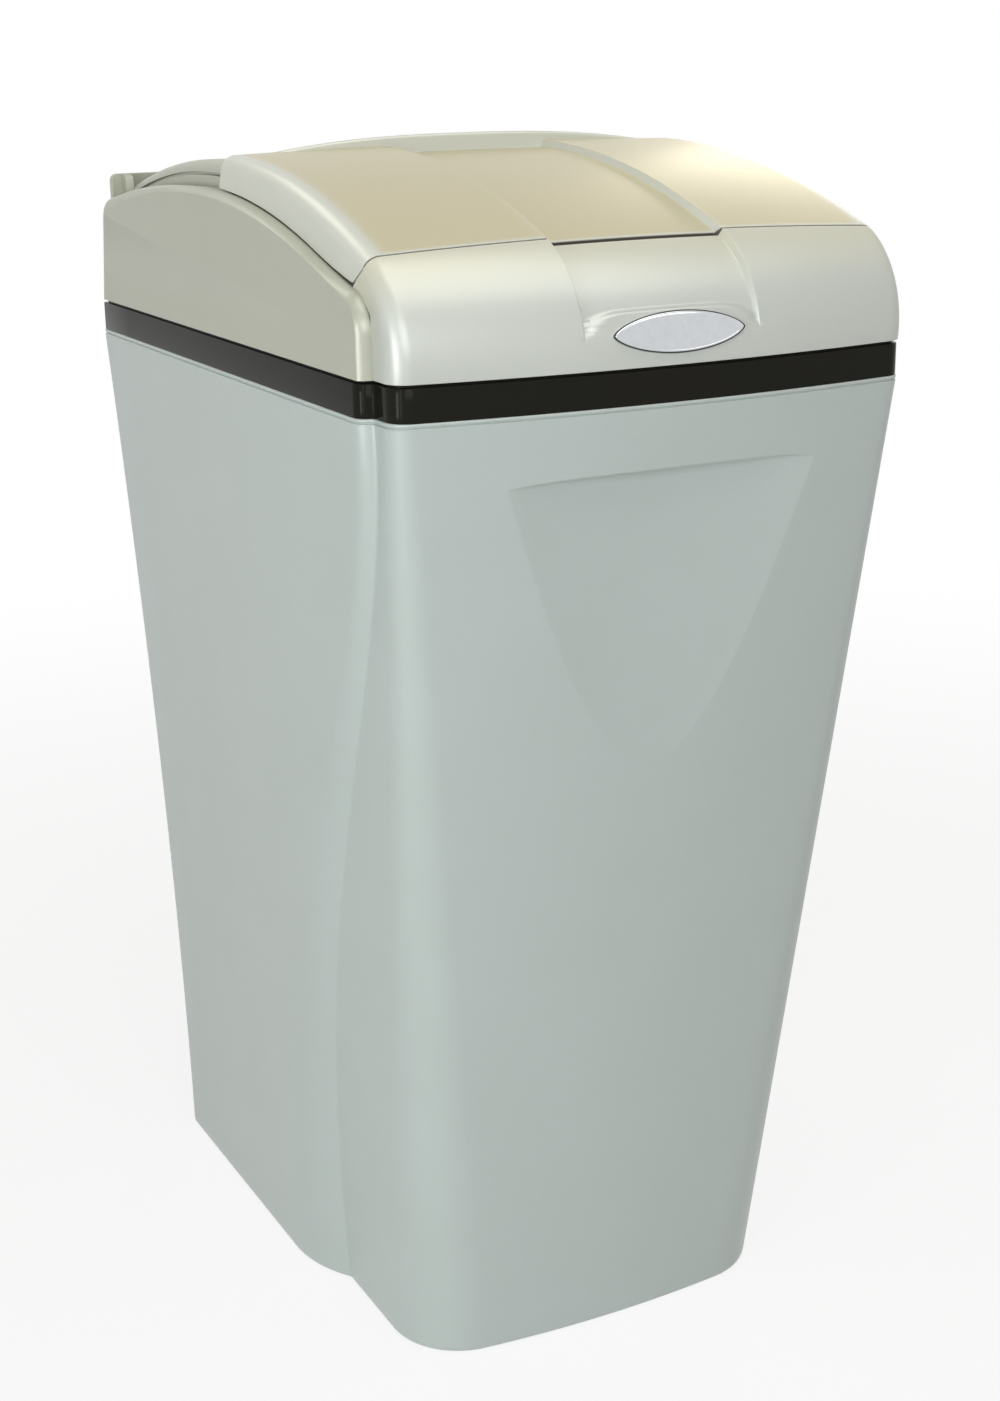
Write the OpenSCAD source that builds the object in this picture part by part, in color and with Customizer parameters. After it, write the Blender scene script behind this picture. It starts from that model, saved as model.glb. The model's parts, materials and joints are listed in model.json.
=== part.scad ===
// Cabinet water softener with a roll-back salt lid.
// Millimetres, +Z up, front faces -Y, origin under the middle of the whole object.

/* [Cabinet] */
// Width across the rim
rim_w = 440; // [430:1:450]
// Depth of the rim, front bow to rear face
rim_d = 608; // [600:1:616]
// Height of the rim
rim_z = 785; // [780:1:790]
// Width of the base
base_w = 380; // [372:1:388]
// Depth of the base
base_d = 492; // [484:1:500]
// How far the rear face leans in at the base
rear_lean = 22; // [18:1:26]
// Step from the hull's side in to the front shield at the rim
shield_rim_in = 11; // [10:0.5:13]
// The same step at the base
shield_base_in = 23; // [20:1:26]
// Moulded wall
wall = 5; // [4:0.5:6]
// Thickness of the floor
floor_t = 8; // [6:1:10]

/* [Grip recess] */
// Width of the recess under its lip
grip_w = 254; // [240:1:264]
// Height of the recess
grip_h = 227; // [210:1:240]
// Height of the lip above the ground
grip_top = 737; // [730:1:742]
// Depth under the lip
grip_depth = 10; // [6:0.5:12]

/* [Top cover] */
// Height of the dark band
band_h = 26; // [22:1:30]
// Radius of the roll at the front
roll_r = 90; // [86:1:94]
// Radius of the seam about the axis that the lid slides round
arc_r = 815; // [812:1:818]
// Radius of the lid's top, from front to rear
crown_r = 768; // [760:1:776]
// Angle from the vertical to the seam between cowl and lid
seam_a = 22.3; // [22:0.1:22.6]
// Angle from the vertical to the rear edge of the lid
lid_rear_a = 2.3; // [2:0.1:2.6]
// Step from the rim's side in to the lid
lid_in = 15; // [14:0.5:17]
// How far the pull lip at the rear stands above the lid's crest
lip_rise = 4.7; // [3:0.1:6]
// Wall of the lid and the cowl
skin = 3.5; // [3:0.5:4]
// Width of the channel along the middle
channel_w = 140; // [130:1:150]
// Depth of the channel
channel_d = 5.5; // [4:0.5:6]
// Radius of the side panels' front corner
panel_corner_r = 36; // [32:1:42]

/* [Plumbing] */
// Outer radius of the resin tank
tank_r = 115; // [110:1:118]
// Height of the valve's ports
port_z = 835; // [833:1:837]
// Spacing of the inlet and the outlet
port_pitch = 90; // [88:1:92]
// Bore that takes a 22 mm pipe
pipe_r = 11.1; // [11:0.05:11.2]
// How far the connections stand out behind the cabinet
stub = 40; // [36:1:44]

/* [Hidden] */
$fn = 64;
gap = 0.3;
run = 0.05;
eps = 0.01;

front_y = -rim_d / 2;
rear_y = rim_d / 2;
base_rear_y = rear_y - rear_lean;
base_front_y = base_rear_y - base_d;
band_z = rim_z + band_h;
rear_corner_r = 6;

roll_y = front_y + roll_r;
slide_y = roll_y + (arc_r - roll_r) * sin(seam_a);
slide_z = band_z - (arc_r - roll_r) * cos(seam_a);

crown_y = roll_y + (crown_r - roll_r) * sin(seam_a);
crown_z = band_z - (crown_r - roll_r) * cos(seam_a);

lid_half = rim_w / 2 - lid_in;
lid_edge_r = 12;
lid_crown = 7;
lid_low = 60;
flange_r = arc_r - 32.7;
lip_half = lid_half - 39;
lip_fall = 10.5;
lip_t = 7;
lip_y = slide_y - arc_r * sin(lid_rear_a);
panel_in = lid_half + 5.5;
panel_t = rim_w / 2 - 1 - panel_in;
panel_r = flange_r - 1.3;
panel_front_y = front_y + 48;
panel_rear_y = rear_y - 6;
panel_rear_r = 12;
rail_in = lid_half - 29;
rail_out = lid_half - 6;
rail_r = arc_r - 15;
rail_edge_r = 12;
deck_r = rail_r - 3;
deck_t = 4;
web_r = panel_r - 0.6;
bridge_a = seam_a - 5;
rail_end_a = 15;
wall_top_z = band_z + 108;
wall_t = 8;
wall_half = lid_half + 2;

badge_w = 104;
badge_h = 34;
badge_t = 3;
badge_a = 14.4;
badge_inset = 1.5;
badge_front = (roll_r + badge_t) * cos(badge_a) + (badge_h / 2 - badge_inset) * sin(badge_a) - roll_r;

tank_y = rear_y - 172;
tank_neck_r = 31.5;
tank_top = port_z - 65;
tank_side_top = tank_top - 90;
tank_foot = floor_t + 12;
tank_wall = 4;
riser_r = 13.35;
collar_top = tank_top + 16;

barrel_r = 31;
bore_r = 17;
piston_r = 11;
rod_r = 4;
body_y0 = tank_y - 70;
body_y1 = tank_y + 70;
port_x = port_pitch / 2;
arm_r = 17;
arm_end = tank_y + 80;
flow_r = 12;
plug_t = 12;
plate_t = 6;
plate_y = body_y0 - plug_t - plate_t;
gear_m = 1.2;
gear_n = 60;
pinion_n = 12;
gear_t = 8;
gear_y = plate_y - 4 - gear_t;
gear_dist = gear_m * (gear_n + pinion_n) / 2;
motor_a = 35;
motor_r = 11;
screw_ring = 24.5;

case_w = 140;
case_h = 112;
case_d = 32;
case_wall = 2.5;
case_y = plate_y - 17 - 3 - case_d;
case_z = port_z + 7;
post_x = case_w / 2 - 12;
post_z = case_h / 2 - 11;
button_r = 6;
button_z = case_z - 36;
window_w = 84;
window_h = 36;
window_z = case_z + 27;

bypass_len = 60;
bypass_end = arm_end + bypass_len;
rotor_r = 15;
rotor_y = arm_end + bypass_len / 2 + 0.5;
tail_end = rear_y + stub;

well_x = 85 - base_w / 2;
well_y = base_front_y + 135;
well_r = 45;
well_wall = 2.5;
well_top = 640;
brine_z = well_top - 50;
float_z = 190;
tube_r = 4.8;
overflow_x = base_w / 2 - 70;
overflow_z = 650;
overflow_r = 12;
grid_z = 88;
grid_t = 6;

// Points of the brine tube, as shares of the way from the well's elbow to the valve's elbow
brine_elbow_x = -76;
brine_loop = 35;
brine_start = [well_x, well_y + well_r + 17.6, brine_z];
brine_end = [brine_elbow_x, tank_y - 14, port_z - 40];
brine_x_share = [0, 0, 0, 0, 0, 0.2, 0.5, 0.8, 1, 1];
brine_y_share = [0, 0.13, 0.28, 0.46, 0.63, 0.8, 0.94, 0.985, 1, 1];
brine_z_share = [0, 0.01, 0.06, 0.245, 0.49, 0.71, 0.815, 0.855, 0.92, 1];
brine_loop_share = [0, 0.03, 0.31, 0.83, 1, 0.88, 0.44, 0.12, 0, 0];
brine_route = [for (k = [0:9]) [
    mix(brine_start[0], brine_end[0], brine_x_share[k]) - brine_loop * brine_loop_share[k],
    mix(brine_start[1], brine_end[1], brine_y_share[k]),
    mix(brine_start[2], brine_end[2], brine_z_share[k])
]];

function mix(a, b, t) = a + (b - a) * t;
function height_ratio(z) = min(1, max(0, z / rim_z));
function ease(u) = u * u * (3 - 2 * u);
function sweep_in(z) = ease(pow(height_ratio(z), 1.4));
function hull_half(z) = mix(base_w, rim_w, pow(height_ratio(z), 1.75)) / 2;
function shield_half(z) = mix(base_w / 2 - shield_base_in, rim_w / 2 - shield_rim_in, height_ratio(z));
function bow(z) = mix(0.0005, 0.0004, height_ratio(z));
function crease_y(z) = mix(base_front_y + 156, front_y + 49, sweep_in(z));
function hull_corner(z) = mix(115, 12, sweep_in(z));
function shield_corner(z) = mix(62, 17, height_ratio(z));
function face_y(x, z) = mix(base_front_y, front_y, height_ratio(z)) + bow(z) * x * x;

// Depth of the grip recess at a point of the front face
function grip_half(v) = grip_w / 2 * pow(v, 0.55);
function grip_in(x, z, top) =
    let (v = (z - grip_top + grip_h) / grip_h)
    z > top || v <= 0 ? 0
        : let (q = abs(x) / grip_half(v)) q >= 1 ? 0 : grip_depth * min(1, v) * (1 - q * q);

// Left half of the plan outline at one height, from the rear middle to the front middle
front_steps = 16;
function half_plan(z, t, top) =
    let (
        a = hull_half(z) - t,
        b = shield_half(z) - t,
        rear = mix(base_rear_y, rear_y, height_ratio(z)) - t,
        rr = max(1, rear_corner_r - t),
        rh = max(a - b, hull_corner(z) - t),
        rs = max(2, shield_corner(z) - t),
        end = acos(1 - (a - b) / rh),
        crease = crease_y(z) + t,
        hull_y = crease + rh * sin(end),
        edge = b - rs,
        shield_y = face_y(edge, z) + t + rs
    )
    concat(
        [for (i = [0:3]) [-a + rr - rr * sin(i * 30), rear - rr + rr * cos(i * 30)]],
        [for (i = [0:7]) [-a + rh - rh * cos(end * i / 7), hull_y - rh * sin(end * i / 7)]],
        [for (i = [0:7]) [-edge - rs * cos(i * 90 / 8), shield_y - rs * sin(i * 90 / 8)]],
        [for (i = [0:front_steps])
            let (x = -edge * (1 - i / front_steps)) [x, face_y(x, z) + t + grip_in(x, z, top)]]
    );
function plan(z, t, top) =
    let (half = half_plan(z, t, top), n = len(half))
    concat(half, [for (i = [n - 2:-1:0]) [-half[i][0], half[i][1]]]);
function ring(z, t, top = 0) = [for (p = plan(z, t, top)) [p[0], p[1], z]];

// Faces of a loft through closed rings of equal length
function flat_list(rows) = [for (row = rows) each row];
function side_faces(m, n, wrap) = [
    for (j = [0:m - (wrap ? 1 : 2)], i = [0:n - 1])
        let (a = j * n + i, b = j * n + (i + 1) % n, c = ((j + 1) % m) * n + i, d = ((j + 1) % m) * n + (i + 1) % n)
        each [[a, c, b], [b, c, d]]
];
function middle(row) = [0, (min([for (p = row) p[1]]) + max([for (p = row) p[1]])) / 2, row[0][2]];

// Solid through closed rings of equal length, with a fan of faces on each end
module loft(rows, first, last) {
    m = len(rows);
    n = len(rows[0]);
    fan = [for (i = [0:n - 1]) each [
        [m * n, i, (i + 1) % n],
        [m * n + 1, (m - 1) * n + (i + 1) % n, (m - 1) * n + i]
    ]];
    polyhedron(concat(flat_list(rows), [first, last]), concat(side_faces(m, n, false), fan), convexity = 8);
}

// Tub made of rings that run up the outside, over the rim and down the inside
module tub(rows) loft(rows, middle(rows[0]), middle(rows[len(rows) - 1]));

// Closed hoop of rings
module hoop(rows) polyhedron(flat_list(rows), side_faces(len(rows), len(rows[0]), true), convexity = 8);

// Bar through rings whose two halves are an outer and an inner line
module hood(rows) {
    m = len(rows);
    n = len(rows[0]);
    cap = [for (i = [0:n / 2 - 2]) each [
        [i, i + 1, n - 1 - i], [i + 1, n - 2 - i, n - 1 - i]
    ]];
    far = [for (f = cap) [for (v = [2:-1:0]) f[v] + (m - 1) * n]];
    polyhedron(flat_list(rows), concat(side_faces(m, n, false), cap, far), convexity = 8);
}

// Round tube along a route
function unit(v) = v / norm(v);
function way(route, i) = unit(route[min(i + 1, len(route) - 1)] - route[max(i - 1, 0)]);
function tube_ring(c, d, r, n) =
    let (u = unit(cross(d, [1, 0, 0])), v = cross(d, u))
    [for (i = [0:n - 1]) c + r * (u * cos(i * 360 / n) + v * sin(i * 360 / n))];
module tube(route, r, n = 10) {
    m = len(route);
    loft([for (i = [0:m - 1]) tube_ring(route[i], way(route, i), r, n)], route[0], route[m - 1]);
}

// Moves the cabinet's own frame so that the origin is under the middle of the whole object
module placed() translate([0, (badge_front - stub) / 2, 0]) children();
module both_sides() {
    children();
    mirror([1, 0, 0]) children();
}
// Cylinder along Y, from y0 to y1, on the valve's axis height
module y_rod(x, z, y0, y1, r) translate([x, y0, z]) rotate([-90, 0, 0]) cylinder(r = r, h = y1 - y0);
module x_rod(x0, x1, y, z, r) translate([x0, y, z]) rotate([0, 90, 0]) cylinder(r = r, h = x1 - x0);
// Turns a section of [radius, x] about a line along X, angles from the vertical to the rear
module about_line(y, z, a0, a1) translate([0, y, z]) rotate([0, 90, 0]) rotate([0, 0, 180 - a1])
    rotate_extrude(angle = a1 - a0, $fn = 360) children();
module about_slide(a0, a1) about_line(slide_y, slide_z, a0, a1) children();
module about_crown(a0, a1) about_line(crown_y, crown_z, a0, a1) children();
module box(x0, x1, y0, y1, z0, z1) translate([x0, y0, z0]) cube([x1 - x0, y1 - y0, z1 - z0]);
module y_screw(x, z, y0, length, r, head_r, head_t) {
    y_rod(x, z, y0 - head_t, y0, head_r);
    y_rod(x, z, y0 - eps, y0 + length, r);
}

module cabinet() color("#b4bab4") placed() difference() {
    rim_bead = 1.2;
    outer = [
        ring(0, 5), ring(2, 1.5), ring(6, 0), ring(50, 0), ring(110, 0), ring(180, 0), ring(250, 0),
        ring(320, 0), ring(390, 0), ring(450, 0),
        for (i = [0:9]) let (z = grip_top - 1.5 - (grip_h - 1.5) * (1 - i / 9)) ring(z, 0, grip_top - 1),
        ring(grip_top, 0), ring(rim_z - 20, 0), ring(rim_z - 4, 0), ring(rim_z - 3.4, rim_bead),
        ring(rim_z - 2.8, rim_bead), ring(rim_z - 2.2, 0.2), ring(rim_z - 0.8, 0.2), ring(rim_z, 1)
    ];
    inner_top = grip_top + 2 * wall;
    inner = [
        ring(rim_z, wall + 1), ring(inner_top + 4, wall + 1), ring(inner_top, wall + 1, inner_top + 1),
        ring(700, wall + 1, inner_top + 1), ring(640, wall + 1, inner_top + 1), ring(580, wall + 1, inner_top + 1),
        ring(grip_top - grip_h, wall + 1), ring(400, wall), ring(280, wall), ring(160, wall), ring(floor_t, wall)
    ];
    tub(concat(outer, inner));
    y_rod(overflow_x, overflow_z, rear_y - 40, rear_y + 10, overflow_r);
}

module trim_band() color("#343530") placed()
    hoop([ring(rim_z, 2), ring(band_z - 2.4, 2), ring(band_z - 2.2, 5), ring(band_z, 5), ring(band_z, 13), ring(rim_z, 13)]);

// Section of the lid and the cowl: height of the skin across its width
channel_edge = 2;
function ramp(x) = min(1, max(0, (channel_w / 2 + channel_edge - abs(x)) / (2 * channel_edge)));
function crown(x) = lid_crown * pow(x / lid_half, 2);
// Stations across the lid and the cowl, close together at the channel's edges
function half_stations(edge) =
    let (outer = channel_w / 2 + channel_edge, inner = channel_w / 2 - channel_edge)
    concat(
        [for (i = [1:5]) mix(edge, outer, i / 5)],
        [for (i = [1:4]) mix(outer, inner, i / 4)],
        [for (i = [1:4]) mix(inner, 0, i / 5)]
    );
function back(list) = [for (i = [len(list) - 1:-1:0]) list[i]];
function stations(edge) = concat([for (x = half_stations(edge)) -x], [0], back(half_stations(edge)));
function lid_line(t) =
    let (h = lid_half - t, r = lid_edge_r - t, edge = h - r, top = crown_r - t - crown(edge))
    concat(
        [[crown_r - lid_low, -h]],
        [for (i = [0:6]) [top - r + r * sin(i * 15), -edge - r * cos(i * 15)]],
        [for (x = stations(edge)) [crown_r - t - crown(x) - channel_d * ease(ramp(x)), x]],
        [for (i = [6:-1:0]) [top - r + r * sin(i * 15), edge + r * cos(i * 15)]],
        [[crown_r - lid_low, h]]
    );

module salt_lid() color("#d0c8aa") placed() {
    difference() {
        intersection() {
            about_crown(-seam_a - 2, 4) polygon(lid_line(0));
            about_slide(-seam_a + 0.06, -lid_rear_a) translate([flange_r, -lid_half - 1]) square([60, 2 * lid_half + 2]);
        }
        about_crown(-seam_a - 3, 6) polygon(lid_line(skin));
        about_slide(-seam_a - 1, -seam_a + 0.3) translate([arc_r - 40, -channel_w / 2]) square([80, channel_w]);
    }
    translate([0, lip_y, 0]) rotate([90, 0, 0]) linear_extrude(lip_t) pull_lip();
    intersection() {
        about_slide(-seam_a + 1, -lid_rear_a - 0.3) both_halves(rail_in + 3, 5, rail_r + run, arc_r);
        about_crown(-seam_a - 2, 4) polygon(lid_line(skin / 2));
    }
}
// Arched lip across the lid's rear edge, in X and Z
module pull_lip() {
    steps = 28;
    xs = [for (i = [0:steps]) lip_half * (2 * i / steps - 1)];
    polygon(concat(
        [for (x = xs) [x, crown_z + crown_r + lip_rise - lip_fall * pow(abs(x) / lip_half, 2.6)]],
        back([for (x = xs) [x, crown_z + crown_r - 0.4 - crown(x) - channel_d * ease(ramp(x)) - skin / 2]])
    ));
}
// Rectangle in the [radius, x] section, on both sides
module both_halves(x0, width, r0, r1) for (s = [0, 1]) mirror([0, s]) translate([r0, x0]) square([r1 - r0, width]);

module cover_frame() color("#b8bab0") placed() difference() {
    union() {
        both_sides() side_panel();
        about_slide(-seam_a + 0.4, rear_a(web_r)) both_halves(rail_in, panel_in + 2 - rail_in, web_r - 6, web_r);
        about_slide(-seam_a + 0.4, rail_end_a) difference() {
            for (s = [0, 1]) mirror([0, s]) rail_section();
            both_halves(rail_out - 4, 5, rail_r - 11.4, rail_r - 8.8);
        }
        about_slide(-seam_a + 0.4, -bridge_a) deck_strip();
        about_slide(-lid_rear_a, rail_end_a) deck_strip();
        box(-panel_in - 2, panel_in + 2, rear_y - wall_t, panel_rear_y - 0.7, band_z, band_z + 70);
        translate([0, rear_y, 0]) rotate([90, 0, 0]) linear_extrude(wall_t) wall_outline();
    }
    box(-port_x - 36, port_x + 36, rear_y - wall_t - 1, rear_y + 1, band_z - 1, port_z + 58);
}
// Centres of the bends that join the panel's arc to its upright front and rear edges
front_bend_y = panel_front_y + panel_corner_r;
front_bend_a = asin((slide_y - front_bend_y) / (panel_r - panel_corner_r));
front_bend_z = slide_z + (panel_r - panel_corner_r) * cos(front_bend_a);
rear_bend_y = panel_rear_y - panel_rear_r;
rear_bend_a = asin((rear_bend_y - slide_y) / (panel_r - panel_rear_r));
rear_bend_z = slide_z + (panel_r - panel_rear_r) * cos(rear_bend_a);
function bend_line(y, z, r, a0, a1, steps) = [
    for (a = steps) let (t = mix(a0, a1, a)) [y + r * sin(t), z + r * cos(t)]
];
// Outline of the panel at x, held in by d from its edge
function panel_ring(x, d) = [for (p = concat(
    [[panel_rear_y - d, band_z]],
    bend_line(rear_bend_y, rear_bend_z, panel_rear_r - d, 90, rear_bend_a, [0:0.2:1]),
    bend_line(slide_y, slide_z, panel_r - d, rear_bend_a, -front_bend_a, [0.04:0.04:0.96]),
    bend_line(front_bend_y, front_bend_z, panel_corner_r - d, -front_bend_a, -90, [0:0.1:1]),
    [[panel_front_y + d, band_z]]
)) [x, p[0], p[1]]];
// Side panel on +X, with an outer edge that is round along its front, top and rear
module side_panel() {
    rings = [for (a = [0:10:90]) panel_ring(panel_in + panel_t * sin(a), panel_t * (1 - cos(a)))];
    inside = [panel_in, (panel_front_y + panel_rear_y) / 2, band_z + 20];
    loft(rings, inside, inside + [panel_t, 0, 0]);
}
// Rail with a round outer top edge
module rail_section() polygon(concat(
    [[web_r - 1, rail_out], [web_r - 1, rail_in], [rail_r, rail_in]],
    [for (i = [0:8]) [rail_r - rail_edge_r + rail_edge_r * cos(i * 11.25), rail_out - rail_edge_r + rail_edge_r * sin(i * 11.25)]]
));
// Rear wall in X and Z, round at its top corners
module wall_outline() {
    r = 6;
    translate([-wall_half, band_z]) square([2 * wall_half, wall_top_z - r - band_z]);
    translate([-wall_half + r, band_z]) square([2 * (wall_half - r), wall_top_z - band_z]);
    for (x = [-1, 1]) translate([x * (wall_half - r), wall_top_z - r]) circle(r = r);
}
module deck_strip() translate([deck_r - deck_t, -rail_in - 1]) square([deck_t, 2 * rail_in + 2]);
function rear_a(r) = asin((rear_y - wall_t / 2 - slide_y) / r);

// One ring of the cowl, turned up about the roll by the share s of its sweep
cowl_half = lid_half + 5;
cowl_in = 30;
function cowl_rho(x, s, t) =
    let (bend = mix(0.0004, lid_crown / pow(lid_half, 2), s), off = off_pad(x, s))
    roll_r - t - bend * x * x * mix(1, off, ease(ramp(x))) - channel_d * ease(ramp(x)) * off * mix(0.5, 1, s);
// 0 on the round-topped pad that carries the badge, 1 away from it
function pad_top(x) = mix(0.4, 0.2, min(1, pow(2 * x / channel_w, 8)));
function off_pad(x, s) = ease(min(1, max(0, (s - pad_top(x)) / 0.12)));
function cowl_line(s, t) =
    let (b = mix(cowl_half, lid_half, s) - t, r = mix(17, lid_edge_r, s) - t, edge = b - r, top = cowl_rho(edge, s, t))
    concat(
        [[-b, cowl_in]],
        [for (i = [0:6]) [-edge - r * cos(i * 15), top - r + r * sin(i * 15)]],
        [for (x = stations(edge)) [x, cowl_rho(x, s, t)]],
        [for (i = [6:-1:0]) [edge + r * cos(i * 15), top - r + r * sin(i * 15)]],
        [[b, cowl_in]]
    );
function cowl_ring(s) =
    let (phi = s * (90 - seam_a))
    [for (p = concat(cowl_line(s, 0), back(cowl_line(s, skin))))
        [p[0], roll_y - p[1] * cos(phi), band_z + p[1] * sin(phi)]];
module front_cowl() color("#b8bab0") placed() hood([for (i = [0:14]) cowl_ring(i / 14)]);

module badge() color("#c8cacc") placed()
    translate([0, roll_y, band_z]) difference() {
        rotate([90 - badge_a, 0, 0]) {
            translate([0, 0, roll_r - 2]) oval_plate(0, badge_t + 0.6);
            translate([0, 0, roll_r - 2]) oval_plate(badge_inset, badge_t + 2);
        }
        rotate([0, 90, 0]) cylinder(r = roll_r + run, h = 2 * badge_w, center = true, $fn = 180);
    }
module oval_plate(inset, t) linear_extrude(t)
    polygon([for (i = [0:59]) [(badge_w / 2 - inset) * cos(i * 6), (badge_h / 2 - inset) * pointed(sin(i * 6))]]);
function pointed(s) = sign(s) * pow(abs(s), 1.6);

// Grid that keeps the salt off the floor, cut away round the well
grid_half = base_w / 2 - 45;
grid_y0 = base_front_y + 25;
grid_y1 = tank_y - tank_r - 10;
grid_leg = 13;
grid_pitch = 25;
module salt_grid() color("#8f9693") placed() {
    translate([0, 0, grid_z]) linear_extrude(grid_t) difference() {
        translate([-grid_half, grid_y0]) square([2 * grid_half, grid_y1 - grid_y0]);
        translate([well_x, well_y]) circle(r = well_r + 2);
        translate([well_x - 60, well_y - well_r]) square([60, 2 * well_r]);
        for (x = [well_x + well_r + 40:grid_pitch:grid_half - 35], y = [grid_y0 + 35:grid_pitch:grid_y1 - 30])
            translate([x, y]) circle(r = 7);
    }
    for (x = [-grid_half + grid_leg, grid_half - grid_leg]) grid_post(x, grid_y0 + grid_leg);
    for (x = [well_x + well_r + 22, grid_half - grid_leg]) grid_post(x, grid_y1 - 12);
}
module grid_post(x, y) translate([x, y, floor_t]) cylinder(r = 5, h = grid_z - floor_t + 1);

module at_well(z) translate([well_x, well_y, z]) children();
module brine_well() color("#e8e8e2") placed() difference() {
    at_well(floor_t) cylinder(r = well_r, h = well_top - floor_t);
    at_well(floor_t - 1) cylinder(r = well_r - well_wall, h = well_top);
    for (a = [0, 90]) at_well(floor_t + 20) rotate([0, 0, a + 45]) translate([-60, -5, 0]) cube([120, 10, 40]);
    translate([well_x, well_y, brine_z]) rotate([-90, 0, 0]) cylinder(r = 8, h = 60);
}
module well_cap() color("#2d2f2e") placed() at_well(well_top) {
    cylinder(r = well_r + 3, h = 4);
    translate([0, 0, -12]) difference() {
        cylinder(r = well_r - well_wall - gap, h = 12 + eps);
        translate([0, 0, -1]) cylinder(r = well_r - well_wall - 3, h = 14 - eps);
    }
    translate([-18, -3, 4 - eps]) cube([36, 6, 12]);
}
// Shut-off valve that hangs in the well from its elbow
module brine_valve() color("#3a3d3c") placed() difference() {
    union() {
        at_well(brine_z - 30) cylinder(r = 14, h = 50);
        translate([well_x, well_y, brine_z]) rotate([-90, 0, 0]) cylinder(r = 7.6, h = 62);
        at_well(brine_z) rotate([-90, 0, 0]) translate([0, 0, well_r + gap]) cylinder(r = 11, h = 5, $fn = 6);
        at_well(brine_z) rotate([-90, 0, 0]) translate([0, 0, well_r - well_wall - 7]) cylinder(r = 11, h = 5);
        at_well(brine_z - 30) translate([22, 0, 0]) cylinder(r = 7, h = 16);
        at_well(brine_z - 30) translate([0, -5, 0]) cube([22, 10, 16]);
    }
    at_well(brine_z - 31) cylinder(r = rod_hole, h = 60);
    at_well(brine_z - 31) translate([22, 0, 0]) cylinder(r = pick_r, h = 11);
}
rod_thin = 2.5;
rod_hole = rod_thin + run;
pick_r = 5;
module pickup_tube() color("#dcdcd6") placed() at_well(floor_t + 70) translate([22, 0, 0]) difference() {
    cylinder(r = pick_r - run, h = brine_z - 20 - floor_t - 70);
    translate([0, 0, -1]) cylinder(r = 3.4, h = brine_z);
}
module check_cage() color("#f0f0ea") placed() at_well(floor_t) translate([22, 0, 0]) difference() {
    cylinder(r = 14, h = 78);
    translate([0, 0, 4]) cylinder(r = 11.5, h = 60);
    translate([0, 0, 60]) cylinder(r = 3.4, h = 30);
    translate([0, 0, 70]) cylinder(r = pick_r, h = 30);
    for (a = [0:60:120]) rotate([0, 0, a]) translate([-20, -3, 10]) cube([40, 6, 44]);
}
module check_ball() color("#d9d2b4") placed() at_well(floor_t + 4 + 9) translate([22, 0, 0]) sphere(r = 9);
module float_rod() color("#e4e4de") placed() at_well(float_z - 30) {
    cylinder(r = rod_thin, h = brine_z + 12 - float_z + 30);
    translate([0, 0, 26]) cylinder(r = 6, h = 4);
}
module float() color("#f2efe4") placed() at_well(float_z) translate([-8, 0, 0]) difference() {
    cylinder(r = 20, h = 70);
    translate([8, 0, -1]) cylinder(r = rod_thin, h = 80);
}

module brine_tube() color("#eceae0") placed() tube(brine_route, tube_r);

module overflow_elbow() color("#3a3d3c") placed() {
    face = wall_out(overflow_z);
    y_rod(overflow_x, overflow_z, face - 22, face + 4, overflow_r - gap);
    y_rod(overflow_x, overflow_z, face + 0.6, face + 6, overflow_r + 6);
    y_rod(overflow_x, overflow_z, face + 5, face + 24, 9);
    translate([overflow_x, face + 24, overflow_z]) sphere(r = 9);
    translate([overflow_x, face + 24, overflow_z - 40]) cylinder(r = 8, h = 40);
    translate([overflow_x, face + 24, overflow_z - 12]) cylinder(r = 10.5, h = 12);
}
module overflow_nut() color("#3a3d3c") placed() {
    face = wall_out(overflow_z) - wall - 1.6;
    difference() {
        translate([overflow_x, face - 8, overflow_z]) rotate([-90, 0, 0]) cylinder(r = 20, h = 8, $fn = 6);
        y_rod(overflow_x, overflow_z, face - 20, face + 5, overflow_r - gap + run);
    }
}
function wall_out(z) = mix(base_rear_y, rear_y, height_ratio(z));

module at_tank(z) translate([0, tank_y, z]) children();
module tank_boot() color("#2d2f2e") placed() at_tank(floor_t) difference() {
    cylinder(r = tank_r + 4, h = 56);
    translate([0, 0, 12]) tank_form(0.2, 0);
}
// Outer or inner form of the tank, grown by g, with its foot at z = 0
module tank_form(g, t) rotate_extrude() intersection() {
    union() {
        translate([0, 60]) square([tank_r + g - t, tank_side_top - tank_foot - 60]);
        translate([0, 60]) scale_dome(tank_r + g - t, 60 + g - t);
        translate([0, tank_side_top - tank_foot]) scale_dome(tank_r + g - t, 70 + g - t);
    }
    translate([0, -tank_r]) square([2 * tank_r, tank_top + 2 * tank_r]);
}
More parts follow.
